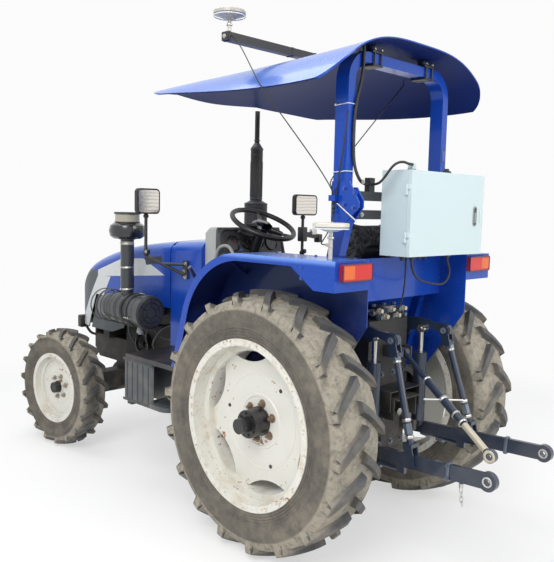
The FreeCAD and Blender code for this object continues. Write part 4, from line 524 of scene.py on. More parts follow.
        give(("air_cleaner",), finish("cleaner_plastic", (0.040, 0.044, 0.048), rough=0.30, coat=0.15, amount=0.3,
                                      grain=0.08, dust=0.3, dust_top=1.1, areas=[
                                          (cup, beige, 0.3, 0.0), (bands, (0.5, 0.47, 0.38), 0.4, 0.0)]))
        give(("exhaust_stack",), finish("stack_black", (0.016, 0.017, 0.019), rough=0.55, metal=0.2, amount=0.5,
                                        second=(0.05, 0.045, 0.04), grain=0.2, dust=0.2, dust_top=2.2))
        give(("mirrors",), finish("mirror_plastic", (0.014, 0.014, 0.015), rough=0.45, amount=0.3, grain=0.12, dust=0.2,
                                  dust_top=1.7))
        give(("mirror_glasses",), glass_finish())
        give(("gnss_antennas",), finish("receiver_white", (0.66, 0.64, 0.56), rough=0.3, coat=0.3, amount=0.15,
                                        grain=0.02, dust=0.05, dust_top=2.5, areas=[
                                            (range_mask("Z", 2.30, 2.60), (0.42, 0.40, 0.345), 0.4, 0.0),
                                            (any_mask(range_mask("Z", 2.34, 2.391), range_mask("Z", 1.33, 1.4275)),
                                             (0.60, 0.56, 0.47), 0.35, 0.1)]))
        give(("tail_lamps",), lamp_finish())
        give(("seat_cushion", "seat_back"), fabric_finish())
        cords = finish("cord_rubber", (0.012, 0.012, 0.013), rough=0.5, amount=0.3, grain=0.05, dust=0.15, dust_top=1.5)
        rest = [name for name in NODES if name not in made]
        give(rest, cords)
        for name, thing in NODES.items():
            thing.data.set_sharp_from_angle(angle=math.radians(32))
        return {"FINISHED"}


def side_only(y):
    """The outer sides of a body panel, past a distance from the middle."""
    def mask(g, place):
        return g.step(g.math("ABSOLUTE", g.parts(place)[1]), y - 0.001, y + 0.001)
    return mask


def facing(axis, sign, low=0.2, high=0.45):
    def mask(g, place):
        normal = g.add("ShaderNodeTexCoord").outputs["Normal"]
        side = g.parts(normal)["XYZ".index(axis)]
        return g.step(g.math("MULTIPLY", side, sign), low, high)
    return mask


facing_down = facing("Z", -1, 0.1, 0.3)


def dull_below(g, shader, place, wear):
    """Less gloss where the surface looks down."""
    above = g.math("SUBTRACT", 1.0, facing_down(g, place))
    sky_tint(g, shader, place, wear)
    g.put(shader.inputs["Coat Weight"], g.math("MULTIPLY_ADD", above, 0.25, 0.05))
    g.put(shader.inputs["Specular IOR Level"], g.math("MULTIPLY_ADD", above, 0.3, 0.2))


def sky_tint(g, shader, place, wear):
    """Blue paint mirrors the sky in its own hue."""
    shader.inputs["Specular Tint"].default_value = (0.40, 0.62, 1.0, 1.0)


def painted_edge_highlight(g, place):
    """Painted highlight along the rolled upper edge of the fenders' outer sides, painted paler blue where it catches
    the light.
    """
    high = g.step(g.parts(place)[2], 1.308, 1.332)
    return g.math("MULTIPLY", g.math("MULTIPLY", high, side_only(0.6055)(g, place)), 0.65)


def painted_sky_highlight(g, place):
    """Painted highlight: paint that looks up is painted paler, standing in for the sky's reflection."""
    return g.math("MULTIPLY", facing("Z", 1, 0.15, 0.95)(g, place), 0.36)


def painted_fender_shade(g, place):
    """Painted shade in navy under the fenders, where the surface looks to the wheel or down."""
    down = facing("Z", -1, 0.15, 0.35)(g, place)
    wall = g.math("MULTIPLY", g.step(g.math("ABSOLUTE", g.parts(place)[1]), 0.389, 0.3915),
                  g.step(g.math("ABSOLUTE", g.parts(place)[1]), 0.605, 0.600))
    top = g.step(g.parts(place)[2], 1.334, 1.330)
    return g.math("MAXIMUM", down, g.math("MULTIPLY", wall, g.math("MULTIPLY", top, inner_normal(g))))


def inner_normal(g):
    """Surfaces that face outwards to the wheel at the fender's inner wall, where the painted shade goes."""
    normal = g.parts(g.add("ShaderNodeTexCoord").outputs["Normal"])
    return g.step(g.math("ABSOLUTE", normal[1]), 0.8, 0.95)


def mesh_holes(g, place):
    """Fine square mesh."""
    split = g.parts(place)
    holes = []
    for part in (split[1], split[2]):
        wave = g.math("FRACT", g.math("MULTIPLY", part, 90.0))
        holes.append(g.math("MULTIPLY", g.step(wave, 0.2, 0.3), g.step(wave, 0.98, 0.88)))
    return g.math("MULTIPLY", *holes)


def dash_face(g, place):
    """The instrument face inside its bezel."""
    split = g.parts(place)
    wide = g.step(g.math("ABSOLUTE", split[1]), 0.212, 0.206)
    high = g.math("MULTIPLY", g.step(split[2], 1.10, 1.13), g.step(split[2], 1.418, 1.412))
    back = g.step(split[0], REAR_X + 0.752, REAR_X + 0.745)
    return g.total("MULTIPLY", [wide, high, back])


def rim_finish(name, cream, side, rear):
    paint = bpy.context.scene.tractor_paint
    rust_level = 0.80 - 0.14 * paint.rust
    if rear:
        x, z, lip, hub, y = REAR_X, REAR_Z, 0.381, 0.0635, side * 0.545
    else:
        x, z, lip, hub, y = FRONT_X, FRONT_Z, 0.222, 0.0345, side * 0.505

    def spots(g, place):
        one = g.noise(place, 34.0, 4.0, 0.6)
        two = g.noise(place, 5.0, 2.0, 0.5)
        near = g.math("MULTIPLY", one, g.math("ADD", two, 0.62))
        return g.step(near, rust_level, rust_level + 0.07)

    def edge(g, place):
        one = g.noise(place, 60.0, 5.0, 0.7)
        ring = radius_mask(x, 0, z, "Y", lip - 0.030, lip + 0.004, 0.012)(g, place)
        return g.math("MULTIPLY", ring, g.step(one, 0.52, 0.70))

    def inside(g, place):
        soil = g.noise(place, 11.0, 5.0, 0.65)
        ring = radius_mask(x, 0, z, "Y", lip - 0.075, lip + 0.01, 0.03)(g, place)
        return g.math("MULTIPLY", g.step(soil, 0.42, 0.8), g.math("MULTIPLY", ring, 0.75))

    areas = [(inside, (0.50, 0.42, 0.29), 0.7, 0.0), (spots, (0.28, 0.12, 0.05), 0.8, 0.0),
             (edge, (0.34, 0.20, 0.09), 0.8, 0.0)]
    black = (0.010, 0.010, 0.011)
    if rear:
        areas.append((radius_mask(x, 0, z, "Y", -1, hub), black, 0.42, 0.0))
    else:
        areas.append((both_masks(front_hub(side, hub)), black, 0.45, 0.0))
    return finish(name, cream, rough=0.36, coat=0.3, amount=0.16, grain=0.04, dust=0.22, dust_top=0.75, scale=6.0,
                  areas=areas)


def front_hub(side, radius):
    """Inside the front hub's cap, about the steered wheel's axis."""
    axis = Vector((-math.sin(REST_STEER), math.cos(REST_STEER), 0))
    pin = Vector((FRONT_X, side * KINGPIN_Y, FRONT_Z))

    def mask(g, place):
        off = g.shifted(place, *pin)
        cross = g.add("ShaderNodeVectorMath", operation="CROSS_PRODUCT")
        g.put(cross.inputs[0], off)
        cross.inputs[1].default_value = axis
        r = g.length(cross.outputs[0])
        along = g.add("ShaderNodeVectorMath", operation="DOT_PRODUCT")
        g.put(along.inputs[0], off)
        along.inputs[1].default_value = axis * side
        far = g.step(along.outputs["Value"], 0.1445, 0.1455)
        return g.math("MULTIPLY", g.step(r, radius + 0.0006, radius - 0.0006), far)
    return mask


def tyre_finish(name, x, z, tip, lip, top_painted_light):
    """Rubber: dusty side walls and tread floor, painted shade on the sides of the bars, and bar tops rubbed smooth,
    coloured in the given tone of painted light.
    """
    def radius(g, place):
        flat = g.add("ShaderNodeVectorMath", operation="MULTIPLY")
        g.put(flat.inputs[0], g.shifted(place, x, 0, z))
        flat.inputs[1].default_value = (1, 0, 1)
        return flat.outputs[0], g.length(flat.outputs[0])

    def walls(g, place):
        soil = g.noise(place, 26.0, 6.0, 0.7)
        ring = radius_mask(x, 0, z, "Y", lip - 0.02, tip - 0.075, 0.02)(g, place)
        return g.math("MULTIPLY", g.step(soil, 0.25, 0.75), g.math("MULTIPLY", ring, 0.7))

    def tread(g, place):
        soil = g.noise(place, 38.0, 6.0, 0.7)
        ring = radius_mask(x, 0, z, "Y", tip * 0.86, tip * 0.956, 0.006)(g, place)
        return g.math("MULTIPLY", g.step(soil, 0.18, 0.62), g.math("MULTIPLY", ring, 0.9))

    # Bar tops: rubbed smoother, and coloured in the given tone as painted light.
    def tops(g, place):
        soil = g.noise(place, 30.0, 5.0, 0.7)
        high = g.step(radius(g, place)[1], tip * 0.965, tip * 0.98)
        return g.math("MULTIPLY", g.step(soil, 0.70, 0.30), g.math("MULTIPLY", high, 0.85))

    def flank_painted_shade(g, place):
        """Painted shade on the sides of the bars, which look along the tread and not outwards."""
        out, r = radius(g, place)
        dot = g.add("ShaderNodeVectorMath", operation="DOT_PRODUCT")
        g.put(dot.inputs[0], out)
        g.put(dot.inputs[1], g.add("ShaderNodeTexCoord").outputs["Normal"])
        outward = g.math("DIVIDE", dot.outputs["Value"], r)
        sideways = g.math("ABSOLUTE", g.parts(g.add("ShaderNodeTexCoord").outputs["Normal"])[1])
        along = g.math("MULTIPLY", g.step(outward, 0.80, 0.55), g.step(sideways, 0.80, 0.55))
        high = g.step(r, tip * 0.90, tip * 0.925)
        return g.math("MULTIPLY", g.math("MULTIPLY", along, high), 0.85)

    def rings(g, place):
        r = radius(g, place)[1]
        wave = g.math("SINE", g.math("MULTIPLY", r, 620.0))
        band = g.math("MULTIPLY", g.step(r, lip - 0.01, lip + 0.002), g.step(r, lip + 0.055, lip + 0.040))
        return g.math("MULTIPLY", g.step(wave, 0.3, 0.9), g.math("MULTIPLY", band, 0.35))

    return finish(name, (0.060, 0.056, 0.050), rough=0.72, amount=0.6, second=(0.105, 0.095, 0.080), grain=0.5,
                  dust=0.55, dust_top=1.3, scale=22.0, areas=[
                      (walls, (0.185, 0.165, 0.130), 0.85, 0.0), (tread, (0.36, 0.33, 0.265), 0.88, 0.0),
                      (tops, top_painted_light, 0.6, 0.0),
                      (flank_painted_shade, (0.036, 0.040, 0.050), 0.5, 0.0), (rings, (0.03, 0.028, 0.026), 0.7, 0.0)])


def glass_finish():
    def clear(g, shader, place, wear):
        shader.inputs["Specular IOR Level"].default_value = 0.8
    def painted_reflection_streaks(g, place):
        """Painted reflection: faint level streaks standing in for what the glass mirrors."""
        high = g.math("MULTIPLY", g.parts(place)[2], 330.0)
        wave = g.math("SINE", g.math("ADD", high, g.math("MULTIPLY", g.noise(place, 9.0, 3.0, 0.6), 9.0)))
        return g.math("MULTIPLY", g.step(wave, 0.2, 0.95), 0.45)
    return finish("mirror_glass", (0.78, 0.74, 0.68), rough=0.12, metal=1.0, amount=0.05, grain=0.0, dust=0.1,
                  dust_top=1.7, extra=clear, areas=[(painted_reflection_streaks, (0.46, 0.43, 0.40), 0.2, 0.9)])


def lamp_finish():
    """Red lens with an amber part towards the outside, ribbed inside."""
    def amber(g, place):
        return g.math("MULTIPLY", g.step(g.math("ABSOLUTE", g.parts(place)[1]), 0.505, 0.507),
                      g.step(g.parts(place)[2], 1.262, 1.264))

    def ribs(g, place):
        wave = g.math("FRACT", g.math("MULTIPLY", g.parts(place)[1], 160.0))
        return g.math("MULTIPLY", g.step(wave, 0.55, 0.8), 0.35)

    def rim(g, place):
        y = g.math("ABSOLUTE", g.parts(place)[1])
        z = g.parts(place)[2]
        edge = g.math("MAXIMUM", g.math("ABSOLUTE", g.math("SUBTRACT", y, 0.485)), g.math(
            "ADD", g.math("ABSOLUTE", g.math("SUBTRACT", z, 1.288)), 0.059))
        return g.step(edge, 0.086, 0.088)

    def glow(g, shader, place, wear):
        shader.inputs["Coat Weight"].default_value = 0.25
    return finish("lamp_lens", (0.62, 0.012, 0.008), rough=0.22, coat=1.0, amount=0.1, grain=0.02, dust=0.1, dust_top=1.5,
                  areas=[(amber, (0.72, 0.14, 0.01), 0.25, 0.0), (ribs, (0.30, 0.004, 0.003), 0.3, 0.0),
                         (rim, (0.35, 0.01, 0.008), 0.3, 0.0)], extra=glow)


SHELL_Z = 1.265     # height at which the seat's back panel starts to round over
SHELL_R = 0.125     # half of its width


def fabric_finish():
    """Black seat fabric with a grey mottled weave."""
    def weave(g, place):
        split = g.parts(place)
        total = g.total("ADD", [g.math("SINE", g.math("MULTIPLY", part, 1800.0)) for part in split])
        return g.math("MULTIPLY", g.step(total, 0.2, 1.5), 0.4)

    def patches(g, place):
        return g.math("MULTIPLY", g.step(g.noise(place, 60.0, 5.0, 0.7), 0.44, 0.56), 0.75)

    def shell(g, place):
        """Plain oval panel on the back of the backrest."""
        split = g.parts(place)
        low = g.math("MULTIPLY", g.math("MAXIMUM", g.math("SUBTRACT", split[2], SHELL_Z), 0), 0.95)
        off = g.math("SQRT", g.math("ADD", g.math("POWER", split[1], 2), g.math("POWER", low, 2)))
        return g.math("MULTIPLY", g.step(off, SHELL_R, SHELL_R - 0.008), g.step(split[0], REAR_X - 0.130, REAR_X - 0.140))
    return finish("seat_fabric", (0.018, 0.018, 0.020), rough=0.85, amount=0.3, grain=0.5, dust=0.1, dust_top=1.3,
                  areas=[(patches, (0.17, 0.165, 0.155), 0.9, 0.0), (weave, (0.05, 0.05, 0.05), 0.9, 0.0),
                         (shell, (0.007, 0.007, 0.008), 0.4, 0.0)])


# ------------------------------------------------------------------ tyres and wheels
def steer_turn(x, y):
    """Turn of a front wheel about its kingpin at rest."""
    pin = Matrix.Translation((x, y, 0))
    return pin @ Matrix.Rotation(REST_STEER, 4, "Z") @ pin.inverted()


class Tyre:
    """Lugged tractor tyre: a lathed casing and two rows of swept bars."""
    lugs = 18
    sweep = 12.0

    def __init__(self, side, centre, rim_half, lip, seat, width, tip, high, wide, turn):
        self.side = side
        self.centre = Vector(centre)
        self.rim_half = rim_half
        self.lip = lip
        self.seat = seat
        self.width = width
        self.tip = tip
        self.high = high
        self.wide = wide
        self.turn = turn

    def point(self, along, angle, radius):
        """Angle is in degrees from the top towards the front."""
        a = math.radians(angle)
        return self.turn @ (self.centre + Vector((radius * math.sin(a), along, radius * math.cos(a))))

    def section(self):
        """Half of the casing, from the bead seat round the side wall to the crown."""
        w = self.width / 2
        crown = self.tip - self.high
        tall = crown - self.lip
        bead = self.rim_half - 0.0065
        rows = [(bead - 0.004, self.seat), (bead, self.seat + 0.006), (bead, self.lip - 0.012),
                (bead + 0.004, self.lip + 0.003)]
        ribs = 4
        for k in range(ribs):
            start = self.lip + 0.006 + 0.052 * tall * k * 1.4
            base = bead + 0.004 + (w - bead - 0.006) * math.sin(math.pi / 2 * (start - self.lip) / (0.5 * tall))
            rows += [(base, start), (base + 0.0022, start + 0.0022), (base + 0.0022, start + 0.0048),
                     (base, start + 0.0070)]
        for share, out in ((0.42, 0.0035), (0.54, 0.0015), (0.66, 0.0035), (0.76, 0.0075), (0.85, 0.014)):
            rows.append((w - out, self.lip + share * tall))
        rows += [(w - 0.024, self.lip + 0.93 * tall), (w * 0.66, crown - 0.008), (w * 0.33, crown - 0.002)]
        return rows

    def casing(self, bm, steps=96):
        half = self.section()
        rows = half + [(0, self.tip - self.high)] + [(-a, r) for a, r in reversed(half)]
        rings = []
        for k in range(steps):
            rings.append([bm.verts.new(self.point(a, 360 / steps * k, r)) for a, r in rows])
        for k in range(steps):
            one = rings[k]
            two = rings[(k + 1) % steps]
            for i in range(len(rows) - 1):
                bm.faces.new((one[i], one[i + 1], two[i + 1], two[i]))

    def lug_rows(self, side):
        """(place along the axle, radius, half width, degrees behind, foot place, foot radius) down one bar."""
        inner = -side * self.width * 0.03
        edge = side * (self.width / 2 - 0.0015)
        drop = self.width * 0.08
        deep = self.high * 1.25
        rows = []
        for k in range(7):
            t = k / 6
            along = inner + (edge - side * 0.004 - inner) * t
            rows.append((along, self.tip - drop * t ** 1.7, self.wide / 2 * (1.06 - 0.10 * math.sin(math.pi * t)),
                         self.sweep * (0.72 * t + 0.28 * t * t), along - side * 0.004 * t, self.tip - drop * t - deep))
        for k, (fall, out, narrow) in enumerate(((0.006, 0.0, 1.0), (0.028, 0.0, 0.94), (0.052, -0.002, 0.82),
                                                 (0.070, -0.008, 0.62))):
            fall = fall * self.high / 0.032
            rows.append((edge + side * out, self.tip - drop - fall, self.wide / 2 * narrow,
                         self.sweep * (1 + 0.02 * k), edge - side * 0.030, self.tip - drop - fall - 0.012))
        return rows

    def lug(self, bm, side, angle):
        lead = math.degrees(self.wide * 1.25 / 2 / self.tip)
        rings = []
        for along, r, half, behind, low_along, low_r in self.lug_rows(side):
            mid = angle - lead - behind
            ring = []
            round_off = 0.12
            for share, up in ((-1.45, 0.0), (-1.0, 1 - round_off), (-0.86, 1.0), (0.86, 1.0), (1.0, 1 - round_off),
                              (1.45, 0.0)):
                spread = math.degrees(half * 1.25 * share / self.tip)
                here_r = low_r + (r - low_r) * up
                here_along = low_along + (along - low_along) * up
                ring.append(bm.verts.new(self.point(here_along, mid + spread, here_r)))
            rings.append(ring)
        for one, two in zip(rings, rings[1:]):
            for k in range(6):
                bm.faces.new((one[k], one[(k + 1) % 6], two[(k + 1) % 6], two[k]))
        bm.faces.new(rings[0])
        bm.faces.new(rings[-1])

    def build(self, name, node, body):
        bm = bmesh.new()
        self.casing(bm)
        pitch = 360 / self.lugs
        for k in range(self.lugs):
            self.lug(bm, 1, 180 + k * pitch)
            self.lug(bm, -1, 180 + (k + 0.5) * pitch)
        made = mesh_object(name, bm, NODES[node].data.materials[0], body)
        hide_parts(node)
        return made


class TRACTOR_OT_tyres(bpy.types.Operator):
    """Lay smooth casings and swept bars over the four tyres"""
    bl_idname = "tractor.tyres"
    bl_label = "Build the tyres"

    def execute(self, context):
        for side, word in ((1, "left"), (-1, "right")):
            still = Matrix.Identity(4)
            rear = Tyre(side, at(0, side * 0.545, REAR_Z), 0.132, 0.385, 0.357, 0.284, 0.590, 0.032, 0.034, still)
            rear.build("tread_rear_" + word, "rear_tyre_" + word, "rear_wheel_" + word)
            turn = steer_turn(FRONT_X, side * KINGPIN_Y)
            front = Tyre(side, (FRONT_X, side * 0.505, FRONT_Z), 0.079, 0.226, 0.204, 0.180, 0.372, 0.023, 0.022, turn)
            front.build("tread_front_" + word, "front_tyre_" + word, "front_wheel_" + word)
        return {"FINISHED"}


class TRACTOR_OT_wheels(bpy.types.Operator):
    """Add the rims' bolts, pressed rings and hub details"""
    bl_idname = "tractor.wheels"
    bl_label = "Build the wheel details"

    def execute(self, context):
        cream = tuple(context.scene.tractor_paint.wheel)
        pressed = finish("pressed_disc", cream, rough=0.36, coat=0.3, amount=0.16, grain=0.04, dust=0.2, dust_top=0.75,
                         scale=6.0)
        dark = finish("hub_black", (0.012, 0.013, 0.015), rough=0.4, coat=0.3, amount=0.4, grain=0.15, dust=0.3,
                      dust_top=0.8)
        rusty = finish("wheel_bolts", (0.20, 0.13, 0.08), rough=0.6, metal=0.5, amount=0.6, second=(0.42, 0.36, 0.28),
                       grain=0.3, dust=0.2, scale=40.0)
        pale = finish("front_wheel_bolts", (0.40, 0.37, 0.30), rough=0.5, metal=0.3, amount=0.5,
                      second=(0.24, 0.20, 0.15), grain=0.2, dust=0.2, scale=40.0)
        for side, word in ((1, "left"), (-1, "right")):
            self.rear(side, word, pressed, dark, rusty)
            self.front(side, word, pressed, dark, pale)
        return {"FINISHED"}

    def rear(self, side, word, pressed, dark, rusty):
        body = "rear_wheel_" + word
        axis = Vector((0, side, 0))
        face = at(0, side * 0.573, REAR_Z)
        bm = bmesh.new()
        add_ring(bm, face, axis, 0.118, 0.016, 0.008, 72)
        add_ring(bm, face - axis * 0.001, axis, 0.215, 0.012, 0.006, 96)
        add_ring(bm, at(0, side * 0.6745, REAR_Z), axis, 0.3775, 0.007, 0.005, 120)
        add_rod(bm, at(-0.336, side * 0.57, REAR_Z + 0.10), at(-0.352, side * 0.61, REAR_Z + 0.105), 0.006)
        mesh_object("rear_disc_rings_" + word, bm, pressed, body)
        bm = bmesh.new()
        for spot in circle_points(face, axis, 0.083, 6, 0.35):
            add_bolt(bm, spot, axis, 0.019, 0.014)
            add_cyl(bm, spot, axis, 0.007, 0.024, 12)
        mesh_object("rear_wheel_bolts_" + word, bm, rusty, body)
        bm = bmesh.new()
        for spot in circle_points(face + axis * 0.0012, axis, 0.205, 3, 0.9):
            add_cyl(bm, spot, axis, 0.0090, 0.0016, 20)
        add_ring(bm, face + axis * 0.004, axis, 0.062, 0.010, 0.010, 48)
        add_ring(bm, face + axis * 0.078, axis, 0.0600, 0.006, 0.008, 48)
        add_ring(bm, face + axis * 0.040, axis, 0.0622, 0.003, 0.006, 48)
        for spot in circle_points(face + axis * 0.080, axis, 0.048, 8, 0.2):
            add_bolt(bm, spot, axis, 0.010, 0.006, False)
        add_ring(bm, face + axis * 0.130, axis, 0.0315, 0.005, 0.005, 36)
        mesh_object("rear_hub_details_" + word, bm, dark, body)

    def front(self, side, word, pressed, dark, rusty):
        body = "front_wheel_" + word
        turn = steer_turn(FRONT_X, side * KINGPIN_Y)
        axis = turn.to_3x3() @ Vector((0, side, 0))
        face = turn @ Vector((FRONT_X, side * 0.534, FRONT_Z))
        bm = bmesh.new()
        add_ring(bm, face, axis, 0.103, 0.012, 0.006, 60)
        add_ring(bm, face + axis * 0.0485, axis, 0.2190, 0.006, 0.004, 90)
        mesh_object("front_disc_rings_" + word, bm, pressed, body)
        bm = bmesh.new()
        for spot in circle_points(face, axis, 0.068, 6, 0.26):
            add_bolt(bm, spot, axis, 0.016, 0.012)
            add_cyl(bm, spot, axis, 0.006, 0.020, 12)
        mesh_object("front_wheel_bolts_" + word, bm, rusty, body)
        bm = bmesh.new()
        add_ring(bm, face + axis * 0.013, axis, 0.036, 0.006, 0.006, 36)
        for spot in circle_points(face + axis * 0.046, axis, 0.022, 6, 0.1):
            add_bolt(bm, spot, axis, 0.007, 0.003, False)
        add_ring(bm, face + axis * 0.0455, axis, 0.0315, 0.004, 0.004, 36)
        mesh_object("front_hub_details_" + word, bm, dark, body)


# ------------------------------------------------------------------ cords
CORDS = {
    "antenna_cable": (0.005, 1.285, [
        (0.325, 0.500, 2.330), (0.292, 0.500, 2.330), (0.020, 0.606, 2.076), (0, 0.606, 2.052), (-0.252, 0.408, 1.632),
        (-0.252, 0.408, 1.560), (-0.256, 0.412, 1.515), (-0.256, 0.424, 1.468), (-0.250, 0.446, 1.428),
        (-0.252, 0.474, 1.402), (-0.268, 0.500, 1.392), (-0.300, 0.500, 1.392)]),
    "canopy_cable": (0.005, 1.029, [
        (-0.240, 0.404, 1.600), (-0.240, 0.404, 1.630), (-0.214, 0.400, 1.668), (-0.046, -0.346, 2.172),
        (-0.046, -0.362, 2.184), (-0.046, -0.362, None)]),
    "post_cable": (0.006, 0.353, [
        (-0.304, 0.3915, 1.950), (-0.304, 0.3915, 1.920), (-0.262, 0.400, 1.632), (-0.262, 0.400, 1.600)]),
    "post_loom": (0.014, 0.644, [
        (-0.3053, 0.300, None), (-0.3053, 0.300, 2.172), (-0.3053, 0.304, 2.120), (-0.3053, 0.316, 2.066),
        (-0.3053, 0.338, 2.005), (-0.3053, 0.350, 1.930), (-0.3053, 0.351, 1.840), (-0.3053, 0.348, 1.762),
        (-0.3053, 0.334, 1.712), (-0.3073, 0.308, 1.671), (-0.3103, 0.282, 1.652), (-0.3103, 0.250, 1.652)]),
    "cabinet_conduit": (0.011, 0.239, [
        (-0.321, 0.232, 1.652), (-0.349, 0.232, 1.652), (-0.375, 0.231, 1.670), (-0.396, 0.227, 1.698),
        (-0.413, 0.219, 1.726), (-0.431, 0.205, 1.745), (-0.449, 0.183, 1.749), (-0.458, 0.158, 1.740),
        (-0.458, 0.131, 1.740)]),
    "cabinet_hose": (0.010, 0.521, [
        (-0.420, 0.056, 1.341), (-0.420, 0.056, 1.303), (-0.420, 0.038, 1.264), (-0.420, 0.004, 1.236),
        (-0.420, -0.040, 1.220), (-0.420, -0.090, 1.211), (-0.420, -0.142, 1.203), (-0.420, -0.190, 1.197),
        (-0.420, -0.232, 1.204), (-0.420, -0.262, 1.228), (-0.420, -0.270, 1.262), (-0.420, -0.256, 1.290),
        (-0.420, -0.240, 1.314), (-0.420, -0.240, 1.341)]),
    "valve_hose": (0.008, 0.351, [
        (-0.395, 0.062, 1.341), (-0.395, 0.062, 1.296), (-0.393, 0.059, 1.246), (-0.386, 0.053, 1.196),
        (-0.372, 0.044, 1.148), (-0.350, 0.033, 1.106), (-0.322, 0.018, 1.077), (-0.294, 0.008, 1.060),
        (-0.264, 0.008, 1.060)]),
}


class TRACTOR_OT_cords(bpy.types.Operator):
    """Run the cables and hoses along their routes"""
    bl_idname = "tractor.cords"
    bl_label = "Build the cables and hoses"

    def execute(self, context):
        rubber = finish("cord_jacket", (0.011, 0.011, 0.013), rough=0.5, amount=0.3, second=(0.030, 0.028, 0.026),
                        grain=0.12, dust=0.2, dust_top=1.5, scale=40.0, areas=[(self.print_line, (0.05, 0.05, 0.05), 0.5, 0.0)])
        ribbed = finish("conduit_jacket", (0.016, 0.016, 0.018), rough=0.45, amount=0.3, grain=0.1, dust=0.15,
                        dust_top=2.4, scale=40.0, areas=[(self.corrugation, (0.003, 0.003, 0.003), 0.7, 0.0)])
        for name, (wide, length, route) in CORDS.items():
            if name not in NODES:
                continue
            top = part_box(name)[1].z
            points = [at(x, y, top if z is None else z) for x, y, z in route]
            thing = self.curve(name, wide, points, ribbed if name in ("post_loom", "cabinet_conduit") else rubber)
            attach(thing, "chassis")
            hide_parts(name)
        return {"FINISHED"}

    def curve(self, name, wide, points, material):
        data = bpy.data.curves.new(name + "_run", "CURVE")
        data.dimensions = "3D"
        data.bevel_depth = wide / 2
        data.bevel_resolution = 5
        spline = data.splines.new("NURBS")
        spline.points.add(len(points) - 1)
        for dot, spot in zip(spline.points, points):
            dot.co = (*spot, 1)
        spline.order_u = 3
        spline.use_endpoint_u = True
        spline.resolution_u = 12
        data.materials.append(material)
        thing = bpy.data.objects.new(name + "_run", data)
        bpy.context.scene.collection.objects.link(thing)
        return thing

    @staticmethod
    def corrugation(g, place):
        """Rings of a corrugated sleeve, close across any way it runs."""
        split = g.parts(place)
        wave = g.math("FRACT", g.math("MULTIPLY", g.math("ADD", split[2], g.math("MULTIPLY", split[1], 0.5)), 230.0))
        return g.math("MULTIPLY", g.step(wave, 0.45, 0.65), 0.8)

    @staticmethod
    def print_line(g, place):
        """Scuffs along the jacket."""
        return g.math("MULTIPLY", g.step(g.noise(place, 85.0, 3.0, 0.6), 0.60, 0.75), 0.6)


